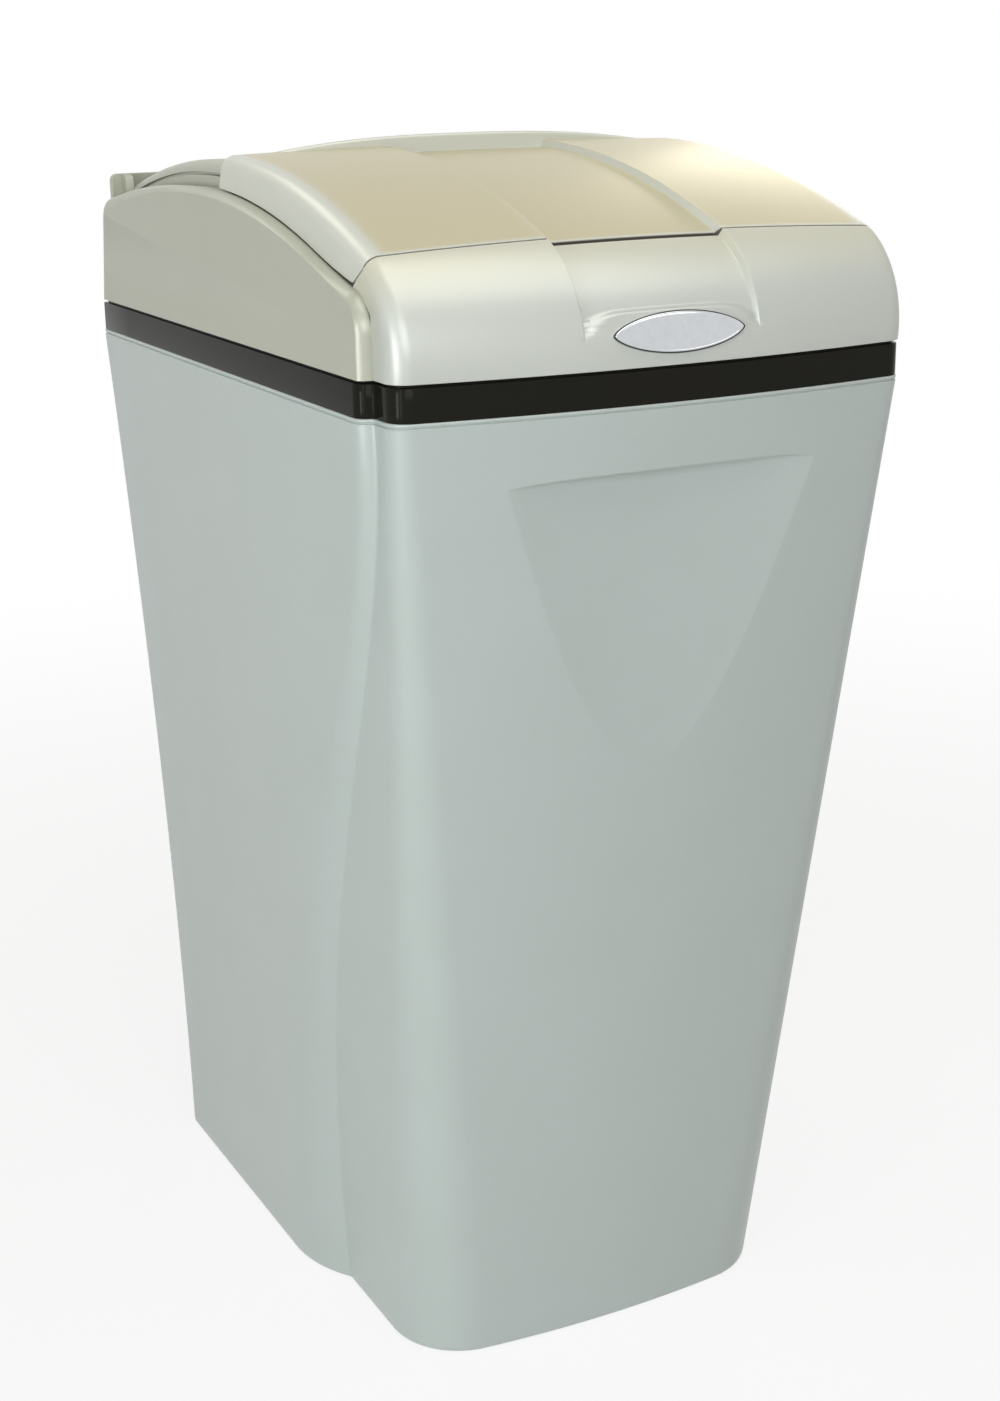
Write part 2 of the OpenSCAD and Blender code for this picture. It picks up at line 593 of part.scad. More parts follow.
// Half-ellipse of revolution as a polygon
module scale_dome(rx, rz) polygon([for (i = [0:47]) [rx * cos(i * 7.5), rz * sin(i * 7.5)]]);
module resin_tank() color("#31557a") placed() at_tank(tank_foot) difference() {
    union() {
        tank_form(0, 0);
        translate([0, 0, neck_z]) cylinder(r = tank_neck_r, h = tank_top - tank_foot - neck_z);
    }
    tank_form(0, tank_wall);
    translate([0, 0, neck_z - 1]) cylinder(r = tank_neck_r - 5, h = tank_top);
}
neck_z = tank_side_top - tank_foot;
bed_h = 430;
module resin_bed() color("#a8742c") placed() at_tank(tank_foot + 66) difference() {
    cylinder(r = tank_r - tank_wall - gap, h = bed_h);
    translate([0, 0, -1]) cylinder(r = riser_r + gap, h = bed_h + 2);
}
module riser_tube() color("#dcdcd6") placed() at_tank(tank_foot + 60) difference() {
    cylinder(r = riser_r, h = collar_top + 4 - tank_foot - 60);
    translate([0, 0, -1]) cylinder(r = riser_r - 2.2, h = collar_top);
}
module lower_basket() color("#f0f0ea") placed() at_tank(tank_foot + 6) difference() {
    cylinder(r = 24, h = 54);
    translate([0, 0, 3]) cylinder(r = 20, h = 46);
    translate([0, 0, 40]) cylinder(r = riser_r - 2.2, h = 30);
    for (a = [0:30:150]) rotate([0, 0, a]) translate([-30, -0.6, 8]) cube([60, 1.2, 38]);
}

module valve_body() color("#2d2f2e") placed() difference() {
    union() {
        at_tank(tank_top - 18) cylinder(r = 44, h = 34);
        at_tank(collar_top - eps) cylinder(r = 34, h = port_z - collar_top);
        y_rod(0, port_z, body_y0, body_y1, barrel_r);
        both_sides() {
            y_rod(port_x, port_z, tank_y + 20, arm_end, arm_r);
            y_rod(port_x, port_z, arm_end - 6, arm_end, arm_r + 3);
            x_rod(0, port_x, tank_y + 36, port_z, 13);
        }
        box(-62, -20, tank_y - 38, tank_y + 10, port_z - 18, port_z + 18);
        translate([0, tank_y + 20, port_z]) cylinder(r = 12, h = barrel_r + 5);
    }
    at_tank(tank_top - 19) cylinder(r = tank_neck_r + gap, h = 19);
    at_tank(tank_top - 1) cylinder(r = riser_r + run, h = collar_top + 5 - tank_top);
    at_tank(tank_top) cylinder(r = 10, h = port_z - tank_top);
    y_rod(0, port_z, body_y0 - 1, seal_y(seal_count - 1) + 5, bore_r);
    both_sides() {
        y_rod(port_x, port_z, tank_y + 28, arm_end + 1, flow_r);
        x_rod(0, port_x, tank_y + 36, port_z, 8);
    }
    x_rod(-80, 0, tank_y - 14, port_z, 8);
    translate([-50, tank_y - 14, port_z - 19]) cylinder(r = 5.5, h = 19);
    translate([0, tank_y + 20, port_z]) cylinder(r = 7, h = 60);
    for (a = [45:90:315]) y_rod(screw_ring * cos(a), port_z + screw_ring * sin(a), body_y0 - 1, body_y0 + 14, 2.1);
    for (dy = [-17, 17]) x_rod(-80, -50, tank_y - 14 + dy, port_z, 2.1);
}
module injector_cap() color("#3a3d3c") placed() difference() {
    box(-68, -62, tank_y - 38, tank_y + 10, port_z - 18, port_z + 18);
    for (dy = [-17, 17]) x_rod(-70, -60, tank_y - 14 + dy, port_z, 2.2);
}
module injector_screws() color("#a9adb0") placed() for (dy = [-17, 17]) {
    x_rod(-71, -68, tank_y - 14 + dy, port_z, 4);
    x_rod(-68 - eps, -52, tank_y - 14 + dy, port_z, 2);
}
module brine_elbow() color("#f0f0ea") placed() {
    translate([-50, tank_y - 14, port_z - 30]) cylinder(r = 5.2, h = 28);
    translate([-50, tank_y - 14, port_z - 24]) cylinder(r = 8, h = 6 - gap);
    translate([-50, tank_y - 14, port_z - 30]) sphere(r = 5.2);
    x_rod(brine_elbow_x, -50, tank_y - 14, port_z - 30, 5.2);
    translate([brine_elbow_x, tank_y - 14, port_z - 30]) sphere(r = 5.2);
    translate([brine_elbow_x, tank_y - 14, port_z - 40]) cylinder(r = 5.2, h = 10);
}
module drain_elbow() color("#3a3d3c") placed() {
    z = port_z + barrel_r + 16;
    translate([0, tank_y + 20, port_z + barrel_r + 5]) cylinder(r = 11, h = 4);
    translate([0, tank_y + 20, port_z + 20]) cylinder(r = 6.9, h = z - port_z - 20);
    translate([0, tank_y + 20, z]) sphere(r = 6.9);
    y_rod(0, z, tank_y + 20, tail_end - 8, 6.9);
    for (i = [0:2]) y_rod(0, z, tail_end - 30 + i * 7, tail_end - 27 + i * 7, 8);
}

seal_count = 6;
seal_pitch = 20;
function seal_y(i) = body_y0 + 13 + i * seal_pitch;
module valve_ring(y0, y1, r_in) difference() {
    y_rod(0, port_z, y0, y1, bore_r - run);
    y_rod(0, port_z, y0 - 1, y1 + 1, r_in);
}
module seal_rings() color("#26282a") placed() for (i = [0:seal_count - 1])
    valve_ring(seal_y(i), seal_y(i) + 5, piston_r + run);
module spacers() color("#e8e8e2") placed() for (i = [0:seal_count - 2]) difference() {
    valve_ring(seal_y(i) + 5, seal_y(i + 1), piston_r + 2);
    for (a = [0:60:120]) translate([0, seal_y(i) + 8, port_z]) rotate([0, a, 0]) translate([-20, 0, -4]) cube([40, 9, 8]);
}
module piston() color("#c9c4b2") placed() {
    y0 = body_y0 + 38;
    difference() {
        y_rod(0, port_z, y0, y0 + 78, piston_r);
        for (dy = [14, 46]) valve_groove(y0 + dy, 16);
    }
    y_rod(0, port_z, case_y + case_d + 3, y0 + eps, rod_r);
}
module valve_groove(y0, w) difference() {
    y_rod(0, port_z, y0, y0 + w, piston_r + 1);
    y_rod(0, port_z, y0 - 1, y0 + w + 1, piston_r - 3);
}
module end_plug() color("#2d2f2e") placed() difference() {
    union() {
        y_rod(0, port_z, body_y0 - plug_t, body_y0, 30);
        y_rod(0, port_z, body_y0 - eps, body_y0 + 11, bore_r - run);
    }
    y_rod(0, port_z, body_y0 - 40, body_y0 + 40, rod_r + run);
    ring_holes(2.2);
}
module ring_holes(r) for (a = [45:90:315])
    y_rod(screw_ring * cos(a), port_z + screw_ring * sin(a), plate_y - 1, body_y0 + 1, r);
module plug_screws() color("#a9adb0") placed() for (a = [45:90:315])
    y_screw(screw_ring * cos(a), port_z + screw_ring * sin(a), plate_y, plate_t + plug_t + 12, 2, 3.8, 2.6);

motor_x = gear_dist * cos(motor_a);
motor_z = port_z + gear_dist * sin(motor_a);
module drive_plate() color("#3a3d3c") placed() difference() {
    box(-case_w / 2 + 4, case_w / 2 - 4, plate_y, plate_y + plate_t, case_z - case_h / 2 + 3, case_z + case_h / 2 - 3);
    y_rod(0, port_z, plate_y - 1, plate_y + plate_t + 1, rod_r + 2);
    y_rod(motor_x, motor_z, plate_y - 1, plate_y + plate_t + 1, 4);
    ring_holes(2.2);
    for (x = [-post_x, post_x], z = [-post_z, post_z])
        y_rod(x, case_z + z, plate_y - 1, plate_y + plate_t + 1, 1.8);
}

// Straight-flanked gear along Y with its first tooth at angle a
function gear_points(n, m, a) = [
    for (i = [0:n - 1], p = [[-1.1, -1.32], [0.85, -0.5], [0.85, 0.5], [-1.1, 1.32]])
        let (r = m * (n / 2 + p[0]), t = a + i * 360 / n + p[1] * 90 / n) [r * cos(t), r * sin(t)]
];
module gear_wheel(n, a, bore) rotate([90, 0, 0]) translate([0, 0, -gear_t]) linear_extrude(gear_t) difference() {
    polygon(gear_points(n, gear_m, a));
    circle(r = bore);
}
module drive_gear() color("#e6e2d2") placed() {
    translate([0, gear_y, port_z]) gear_wheel(gear_n, motor_a, rod_r + run);
    difference() {
        y_rod(0, port_z, plate_y - 16.5, plate_y - gap, 9);
        y_rod(0, port_z, plate_y - 20, plate_y + 1, rod_r + run);
    }
}
shaft_r = 1.5;
module motor_pinion() color("#c9a94c") placed() {
    translate([motor_x, gear_y, motor_z]) gear_wheel(pinion_n, motor_a + 180 + 180 / pinion_n, shaft_r - 0.5);
    y_rod(motor_x, motor_z, gear_y - 2, plate_y + plate_t + 20, shaft_r);
}
module drive_motor() color("#9a9ea0") placed() difference() {
    y_rod(motor_x, motor_z, plate_y + plate_t, plate_y + plate_t + 38, motor_r);
    y_rod(motor_x, motor_z, plate_y, plate_y + plate_t + 20 + gap, shaft_r + run);
}

module case_back() color("#4a4e50") placed() difference() {
    union() {
        box(-case_w / 2, case_w / 2, case_y + case_d, case_y + case_d + 3, case_z - case_h / 2, case_z + case_h / 2);
        for (x = [-post_x, post_x], z = [-post_z, post_z]) y_rod(x, case_z + z, case_y + case_d + 2, plate_y, 5);
    }
    y_rod(0, port_z, case_y, plate_y, rod_r + 1.5);
    for (x = [-post_x, post_x], z = [-post_z, post_z]) y_rod(x, case_z + z, plate_y - 12, plate_y + 1, 1.6);
}
module post_screws() color("#a9adb0") placed() for (x = [-post_x, post_x], z = [-post_z, post_z]) {
    y_rod(x, case_z + z, plate_y + plate_t, plate_y + plate_t + 2.4, 3.2);
    y_rod(x, case_z + z, plate_y - 10, plate_y + plate_t + eps, 1.5);
}
module controller_case() color("#4a4e50") placed() difference() {
    box(-case_w / 2, case_w / 2, case_y, case_y + case_d, case_z - case_h / 2, case_z + case_h / 2);
    box(-case_w / 2 + case_wall, case_w / 2 - case_wall, case_y + case_wall, case_y + case_d + 1,
        case_z - case_h / 2 + case_wall, case_z + case_h / 2 - case_wall);
    box(-window_w / 2, window_w / 2, case_y - 1, case_y + 5, window_z - window_h / 2, window_z + window_h / 2);
    for (x = [-34, 0, 34]) y_rod(x, button_z, case_y - 1, case_y + 5, button_r + gap);
}
module circuit_board() color("#2e6b3e") placed() difference() {
    box(-case_w / 2 + case_wall + gap, case_w / 2 - case_wall - gap, case_y + 12, case_y + 13.6,
        case_z - case_h / 2 + case_wall + gap, case_z + case_h / 2 - case_wall - gap);
    y_rod(0, port_z, case_y, case_y + 20, rod_r + 3);
}
module display_window() color("#20282a") placed() {
    box(-window_w / 2 + gap, window_w / 2 - gap, case_y, case_y + case_wall, window_z - window_h / 2 + gap, window_z + window_h / 2 - gap);
    box(-window_w / 2 - 4, window_w / 2 + 4, case_y + case_wall, case_y + case_wall + 1.5, window_z - window_h / 2 - 4, window_z + window_h / 2 + 4);
}
module push_button(x) color("#c8cac8") placed() {
    y_rod(x, button_z, case_y - 2, case_y + 8, button_r);
    y_rod(x, button_z, case_y + case_wall + gap, case_y + case_wall + 1.8, button_r + 2);
}
module button_left() push_button(-34);
module button_mid() push_button(0);
module button_right() push_button(34);

spider_y = tank_y + 50;
module flow_spider() color("#f0f0ea") placed() {
    difference() {
        y_rod(port_x, port_z, spider_y, spider_y + 4, flow_r - run);
        for (a = [0:120:240]) translate([port_x, spider_y, port_z]) rotate([0, a, 0]) translate([0, 0, 6.6]) rotate([90, 0, 0])
            cylinder(r = 3.8, h = 20, center = true);
    }
    y_rod(port_x, port_z, spider_y + 4 - eps, spider_y + 24, 1.5);
}
module turbine() color("#2f6fb0") placed() difference() {
    union() {
        y_rod(port_x, port_z, spider_y + 4.5, spider_y + 20, 3.5);
        for (a = [0:60:300]) translate([port_x, spider_y + 12, port_z]) rotate([0, a, 0]) rotate([0, 0, 30])
            translate([-0.6, -6, 2.5]) cube([1.2, 12, flow_r - 3.3]);
    }
    y_rod(port_x, port_z, spider_y, spider_y + 30, 1.5 + run);
}

module bypass_body() color("#3a3d3c") placed() difference() {
    union() {
        both_sides() {
            y_rod(port_x, port_z, arm_end, bypass_end, arm_r);
            y_rod(port_x, port_z, arm_end, arm_end + 6, arm_r + 3);
            translate([port_x, rotor_y, port_z - 21]) cylinder(r = rotor_r + 4, h = 42);
        }
        x_rod(-port_x, port_x, rotor_y, port_z, 13);
    }
    both_sides() {
        y_rod(port_x, port_z, arm_end - 1, bypass_end + 1, flow_r);
        translate([port_x, rotor_y, port_z - 17]) cylinder(r = rotor_r, h = 60);
    }
    x_rod(-port_x, port_x, rotor_y, port_z, 8);
}
module bypass_clips() color("#c94b32") placed() both_sides()
    translate([port_x, arm_end - 9, port_z]) rotate([-90, 0, 0]) rotate([0, 0, -30 + 180]) rotate_extrude(angle = 240)
        difference() {
            translate([arm_r + gap, 0]) square([6, 18]);
            translate([arm_r, 3 - gap]) square([3 + gap, 12 + 2 * gap]);
        }
module bypass_knob(x) color("#c94b32") placed() {
    difference() {
        translate([x, rotor_y, port_z - 17 + gap]) cylinder(r = rotor_r - run, h = 38);
        y_rod(x, port_z, rotor_y - 30, rotor_y + 30, 10);
    }
    translate([x, rotor_y, port_z + 21 + gap]) cylinder(r = 18, h = 5);
    translate([x - 4, rotor_y - 17, port_z + 26]) cube([8, 34, 14]);
}
module inlet_knob() bypass_knob(-port_x);
module outlet_knob() bypass_knob(port_x);
module port_gaskets() color("#26282a") placed() both_sides() difference() {
    y_rod(port_x, port_z, bypass_end, bypass_end + 1.5, arm_r - 1);
    y_rod(port_x, port_z, bypass_end - 1, bypass_end + 3, flow_r);
}
module port_tails() color("#d8d6cc") placed() both_sides() difference() {
    union() {
        y_rod(port_x, port_z, bypass_end + 1.5, bypass_end + 5.5, arm_r - 0.5);
        y_rod(port_x, port_z, bypass_end + 5, tail_end, 14);
    }
    y_rod(port_x, port_z, bypass_end, tail_end + 1, pipe_r);
}
module union_nuts() color("#3a3d3c") placed() both_sides() difference() {
    translate([port_x, bypass_end - 10, port_z]) rotate([-90, 0, 0]) cylinder(r = 22, h = 21, $fn = 6);
    y_rod(port_x, port_z, bypass_end - 11, bypass_end + 5.5, arm_r + run);
    y_rod(port_x, port_z, bypass_end, bypass_end + 20, 14 + gap);
}

cabinet();
trim_band();
cover_frame();
front_cowl();
salt_lid();
badge();
salt_grid();
brine_well();
well_cap();
brine_valve();
pickup_tube();
check_cage();
check_ball();
float_rod();
float();
brine_tube();
overflow_elbow();
overflow_nut();
tank_boot();
resin_tank();
resin_bed();
riser_tube();
lower_basket();
valve_body();
injector_cap();
injector_screws();
brine_elbow();
drain_elbow();
seal_rings();
spacers();
piston();
end_plug();
plug_screws();
drive_plate();
drive_gear();
motor_pinion();
drive_motor();
case_back();
post_screws();
controller_case();
circuit_board();
display_window();
button_left();
button_mid();
button_right();
flow_spider();
turbine();
bypass_body();
bypass_clips();
inlet_knob();
outlet_knob();
port_gaskets();
port_tails();
union_nuts();
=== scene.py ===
import json
import math
import bpy
import bmesh
import numpy as np
from mathutils import Matrix, Vector


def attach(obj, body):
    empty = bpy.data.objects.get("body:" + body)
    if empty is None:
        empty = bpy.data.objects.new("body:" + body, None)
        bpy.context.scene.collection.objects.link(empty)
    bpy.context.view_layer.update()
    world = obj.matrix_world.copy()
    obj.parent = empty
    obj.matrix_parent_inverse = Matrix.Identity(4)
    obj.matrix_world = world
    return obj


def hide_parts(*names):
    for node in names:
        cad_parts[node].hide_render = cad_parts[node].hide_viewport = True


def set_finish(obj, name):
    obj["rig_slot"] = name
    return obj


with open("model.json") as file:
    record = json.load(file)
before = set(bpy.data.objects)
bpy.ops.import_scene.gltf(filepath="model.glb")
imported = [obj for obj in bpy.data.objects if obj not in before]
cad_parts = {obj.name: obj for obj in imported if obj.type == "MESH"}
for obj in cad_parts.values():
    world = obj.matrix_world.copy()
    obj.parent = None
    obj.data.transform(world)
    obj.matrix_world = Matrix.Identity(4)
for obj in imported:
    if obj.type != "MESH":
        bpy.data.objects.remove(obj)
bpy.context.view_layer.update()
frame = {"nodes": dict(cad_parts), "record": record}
scene = bpy.context.scene
scene.view_settings.view_transform = "Standard"

rowShift = -18.0335  # mm, from the cabinet's own middle to the frame's origin
rootBody = "cabinet_body"


def mix(a, b, t):
    return a + (b - a) * t


def ease(t):
    t = min(1.0, max(0.0, t))
    return t * t * (3 - 2 * t)


def spread(a, b, n):
    return [mix(a, b, i / (n - 1)) for i in range(n)]


# a sheet of quads over rows of points, closed across or along if asked
def weave(rows, across=False, along=False):
    m, n = len(rows), len(rows[0])
    points = [p for row in rows for p in row]
    quads = []
    for j in range(m if along else m - 1):
        for i in range(n if across else n - 1):
            k, q = (i + 1) % n, (j + 1) % m
            quads.append((j * n + i, j * n + k, q * n + k, q * n + i))
    return points, quads


# one closed ring swept through rows, with a face on each open end
def tubeOf(rows):
    points, quads = weave(rows, across=True)
    n, m = len(rows[0]), len(rows)
    quads.append(tuple(range(n))[::-1])
    quads.append(tuple(range((m - 1) * n, m * n)))
    return points, quads


# millimetres in the cabinet's frame become metres in the row frame
def makePiece(name, parts, sharp=35, softEdge=0.0, edgeAngle=50):
    mesh = bpy.data.meshes.new(name)
    bm = bmesh.new()
    for points, faces in parts:
        own = [bm.verts.new((p[0] / 1000, (p[1] + rowShift) / 1000, p[2] / 1000)) for p in points]
        for f in faces:
            bm.faces.new([own[i] for i in f])
    bmesh.ops.remove_doubles(bm, verts=bm.verts, dist=2e-6)
    bmesh.ops.recalc_face_normals(bm, faces=bm.faces)
    bm.to_mesh(mesh)
    bm.free()
    mesh.shade_smooth()
    mesh.set_sharp_from_angle(angle=math.radians(sharp))
    obj = bpy.data.objects.new(name, mesh)
    scene.collection.objects.link(obj)
    if softEdge:
        round_ = obj.modifiers.new("softEdge", "BEVEL")
        round_.width, round_.segments = softEdge / 1000, 2
        round_.limit_method, round_.angle_limit = "ANGLE", math.radians(edgeAngle)
        round_.harden_normals = False
    return obj


def fit(obj, body, slot, *nodes):
    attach(obj, body)
    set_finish(obj, slot)
    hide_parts(*nodes)
    return obj


# cabinet: a hull whose front corners sweep back, and a shield with a scooped grip
cabinet = {
    "rim": (440, 785), "base": (380, 0), "rear": (282, 307), "front": (-210, -304),
    "shield": (167, 209), "crease": (-54, -255), "hullCorner": (115, 12), "shieldCorner": (62, 17),
    "bow": (0.0005, 0.0004), "rearCorner": 2.5, "wall": 6, "floor": 8, "creaseFillet": 3,
    "gripWidth": 254, "gripFoot": 510, "gripTop": 737, "gripDepth": 12, "gripTaper": 0.55,
    "lipRound": 1.8, "lipDip": 3.4,
}
gripInner = [0, 0.12, 0.24, 0.36, 0.47, 0.57, 0.66, 0.74, 0.81, 0.87, 0.92, 0.96, 0.985, 1]
gripOuter = [0.012, 0.04, 0.09, 0.16, 0.26, 0.38, 0.52, 0.68, 0.84, 1]


def gripHalf(z):
    v = (z - cabinet["gripFoot"]) / (cabinet["gripTop"] - cabinet["gripFoot"])
    return cabinet["gripWidth"] / 2 * min(1, max(0, v)) ** cabinet["gripTaper"]


# one row round the cabinet; scoop scales the depth of the grip and dip lowers the row at its lip
def cabinetRow(z, inset=0.0, scoop=0.0, dip=0.0):
    u = min(1, max(0, z / cabinet["rim"][1]))
    s = ease(u ** 1.4)
    a = mix(cabinet["base"][0], cabinet["rim"][0], u ** 1.75) / 2 - inset
    b = mix(*cabinet["shield"], u) - inset
    bow, face = mix(*cabinet["bow"], u), mix(*cabinet["front"], u) + inset
    rear = mix(*cabinet["rear"], u) - inset
    rr = max(1, cabinet["rearCorner"] - inset)
    rh = max(a - b, mix(*cabinet["hullCorner"], s) - inset)
    rs = max(2, mix(*cabinet["shieldCorner"], u) - inset)
    end = math.acos(max(-1, 1 - (a - b) / rh))
    crease = mix(*cabinet["crease"], s) + inset
    hullY = crease + rh * math.sin(end)
    flat = [(-a + rr - rr * math.sin(t), rear - rr + rr * math.cos(t)) for t in spread(0, math.pi / 2, 6)]
    flat += [(-a, y) for y in spread(rear - rr, hullY, 9)[1:-1]]
    cut = min(cabinet["creaseFillet"] / rh, end * 0.4)
    flat += [(-a + rh - rh * math.cos(t), hullY - rh * math.sin(t)) for t in spread(0, end - cut, 18)]
    start, turn = flat[-1], (-b, crease)
    stop = (-b, crease - cabinet["creaseFillet"])
    for t in spread(0, 1, 6)[1:]:
        flat.append(tuple((1 - t) ** 2 * start[i] + 2 * t * (1 - t) * turn[i] + t * t * stop[i] for i in (0, 1)))
    edge = b - rs
    for _ in range(4):  # the corner ends where it meets the bowed face without a kink
        turnEnd = math.pi / 2 - math.atan(2 * bow * edge)
        edge = b - rs + rs * math.cos(turnEnd)
    cornerY = face + bow * edge * edge + rs * math.sin(turnEnd)
    flat += [(-b, y) for y in spread(stop[1], cornerY, 5)[1:-1]]
    flat += [(-b + rs - rs * math.cos(t), cornerY - rs * math.sin(t)) for t in spread(0, turnEnd, 16)]
    w = max(18, gripHalf(z))
    front = [w + (edge - w) * k for k in gripOuter[::-1]][1:] + [w * k for k in gripInner[::-1]]
    v = min(1, max(0, (z - cabinet["gripFoot"]) / (cabinet["gripTop"] - cabinet["gripFoot"])))
    half = [(x, y, z) for x, y in flat]
    for x in front:
        q = x / max(1, gripHalf(z))
        drop = max(0, 1 - q * q) * v * scoop * cabinet["gripDepth"]
        sag = dip * min(1, x / (cabinet["gripWidth"] / 2)) ** 4 * ease((1.5 - x / (cabinet["gripWidth"] / 2)) / 0.5)
        half.append((-x, face + bow * x * x + drop, z - sag))
    return half + [(-p[0], p[1], p[2]) for p in half[-2::-1]]


def cabinetRows():
    top, lip, dip = cabinet["gripTop"], cabinet["lipRound"], cabinet["lipDip"]
    rows = [cabinetRow(z, t) for z, t in ((0, 5), (0.5, 3.4), (1.4, 1.8), (2.8, 0.7), (4.4, 0.2), (6.5, 0))]
    rows += [cabinetRow(z) for z in spread(14, 500, 44)]
    for z in spread(cabinet["gripFoot"], top - 4, 54):
        rows.append(cabinetRow(z, 0, 1, dip * ease((z - top + 70) / 66)))
    rows += [cabinetRow(top - 1.3, 0, 0.93, dip), cabinetRow(top - 0.3, 0, 0.72, dip), cabinetRow(top, 0, 0.45, dip)]
    for t in spread(0, math.pi / 2, 7):
        share = min(0.24, lip / cabinet["gripDepth"]) * (1 - math.sin(t))
        rows.append(cabinetRow(top + 0.05 + lip * (1 - math.cos(t)), 0, share, dip))
    for z in spread(top + lip + 1.2, 780.6, 12):
        rows.append(cabinetRow(z, 0, 0, dip * ease((top + 26 - z) / 22)))
    rim = ((781, 0), (781.35, 0.35), (781.55, 1.0), (781.75, 1.2), (782.1, 1.2), (782.4, 0.9), (782.7, 0.4), (783.1, 0.2))
    rim += ((784.0, 0.2), (784.5, 0.4), (784.85, 0.75), (785, 1.3), (785, cabinet["wall"]))
    rows += [cabinetRow(z, t) for z, t in rim]
    rows += [cabinetRow(z, cabinet["wall"], 1 if 520 < z < 740 else 0) for z in (760, 747, 735, 700, 650, 600, 550, 505)]
    rows += [cabinetRow(z, cabinet["wall"]) for z in spread(450, cabinet["floor"], 8)]
    return rows


cabinetShell = makePiece("cabinetShell", [tubeOf(cabinetRows())], sharp=40)
fit(cabinetShell, rootBody, "cabinet_plastic", "cabinet")
print("cabinet:", len(cabinetShell.data.vertices), "points")

# dark band, held back at its top so that the cover throws a line of shadow
band = {"foot": 785, "top": 811, "inset": 0.9, "shadowInset": 4, "inner": 13}


def bandRows():
    side, back = band["inset"], band["shadowInset"]
    steps = ((0, side + 0.5), (0.3, side + 0.1), (0.9, side), (23, side))
    steps += ((23.5, side + 0.25), (23.75, side + 0.8), (23.85, back), (26, back))
    rows = [cabinetRow(band["foot"] + dz, t) for dz, t in steps]
    rows = [[(p[0], p[1], band["foot"] + dz) for p in row] for row, (dz, t) in zip(rows, steps)]
    for z in (band["top"], band["foot"]):
        rows.append([(p[0], p[1], z) for p in cabinetRow(785, band["inner"])])
    return rows


trimBand = makePiece("trimBand", [weave(bandRows(), across=True, along=True)], sharp=40)
fit(trimBand, rootBody, "smoke_band", "trim_band")
print("band:", len(trimBand.data.vertices), "points")

# axes of the cover, in the cabinet's own Y and Z
bandZ, seam = 811, math.radians(22.3)
roll = {"r": 90, "y": -214}
slide = {"r": 815, "y": roll["y"] + 725 * math.sin(seam), "z": bandZ - 725 * math.cos(seam)}
crown = {"r": 768, "y": roll["y"] + 678 * math.sin(seam), "z": bandZ - 678 * math.cos(seam)}


def onSlide(x, r, a):
    return (x, slide["y"] + r * math.sin(a), slide["z"] + r * math.cos(a))


# a section of (radius, x) swept round the slide axis
def slideSweep(section, a0, a1, steps):
    return tubeOf([[onSlide(x, r, a) for r, x in section] for a in spread(a0, a1, steps)])


def mirrored(part):
    return [(-p[0], p[1], p[2]) for p in part[0]], part[1]


# cover frame: side panels with a round bead, rails with a slot, decks and rear wall
cover = {
    "panelIn": 209, "panelOut": 219, "footIn": 207, "cornerY": -200, "rear": 304,
    "flatR": 776, "flatFront": -251, "flatFrontR": 22, "flatRear": 291, "flatRearR": 5,
    "flatSlope": 0.18, "flatRise": (0.06, 0.028), "flatRiseFrom": (17, 3.4),
    "beadR": 780.5, "beadRise": (0.19, 0.0425), "beadRiseFrom": 16.5, "beadBreak": 26, "beadRear": 298, "rearR": 9,
    "beadIn": (206.6, 209.5), "beadRearIn": 210, "widenFrom": 3, "widenOver": 18.6, "rearWidenOver": 7,
    "valley": -256, "valleyX": 209, "valleyR": 30, "valleyTop": 848, "valleyFade": 24, "rearLean": (13.5, 8),
    "ledge": 10, "ledgeFrom": -245, "ledgeFade": 12, "ledgeLow": 0.6, "ledgeDeep": 6, "footInset": 7,
    "railIn": 176, "railOut": 199, "railR": 800, "railEdge": 12, "railEnd": 15, "railFrontGap": 0.4,
    "slot": (788.6, 791.2), "slotDeep": 4, "webR": 769, "webThick": 6,
    "deckR": 797, "deckThick": 4, "deckHalf": 177, "deckFront": 17.3, "deckRear": 2.3,
    "wallTop": 919, "wallHalf": 207, "wallThick": 8, "wallRound": 6, "portHalf": 81, "portTop": 893,
    "postX": (192, 199), "post": ((283, 880), (283, 913), (285, 917), (289, 918.5), (297, 918.5), (297, 880)),
    "blockHalf": 212.5, "blockTop": 881, "blockY": (296, 297.3),
}


# radii about the slide axis of the panel's flat and of its bead, which climb towards both ends
def flatRadius(a):
    deg, rise, start = math.degrees(a), cover["flatRise"], cover["flatRiseFrom"]
    front = cover["flatSlope"] * max(0.0, -deg) + rise[0] * max(0.0, -deg - start[0]) ** 2
    return cover["flatR"] + front + rise[1] * max(0.0, deg - start[1]) ** 2


def beadRadius(a):
    deg, rise = math.degrees(a), cover["beadRise"]
    return cover["beadR"] + rise[0] * max(0.0, -deg - cover["beadRiseFrom"]) ** 2 + rise[1] * max(0.0, deg) ** 2


# the lid slides on a plain arc, so behind it the ledge inside the bead doesn't climb
def ledgeRadius(a):
    return beadRadius(min(a, 0)) - cover["ledgeLow"]


# the lid and the bead widen together from the rear of the lid to the seam
def beadX(a):
    deg = math.degrees(a)
    if deg > 0:
        return mix(cover["beadIn"][0], cover["beadRearIn"], ease(deg / cover["rearWidenOver"]))
    return mix(*cover["beadIn"], min(1, max(0, (-deg - cover["widenFrom"]) / cover["widenOver"])))


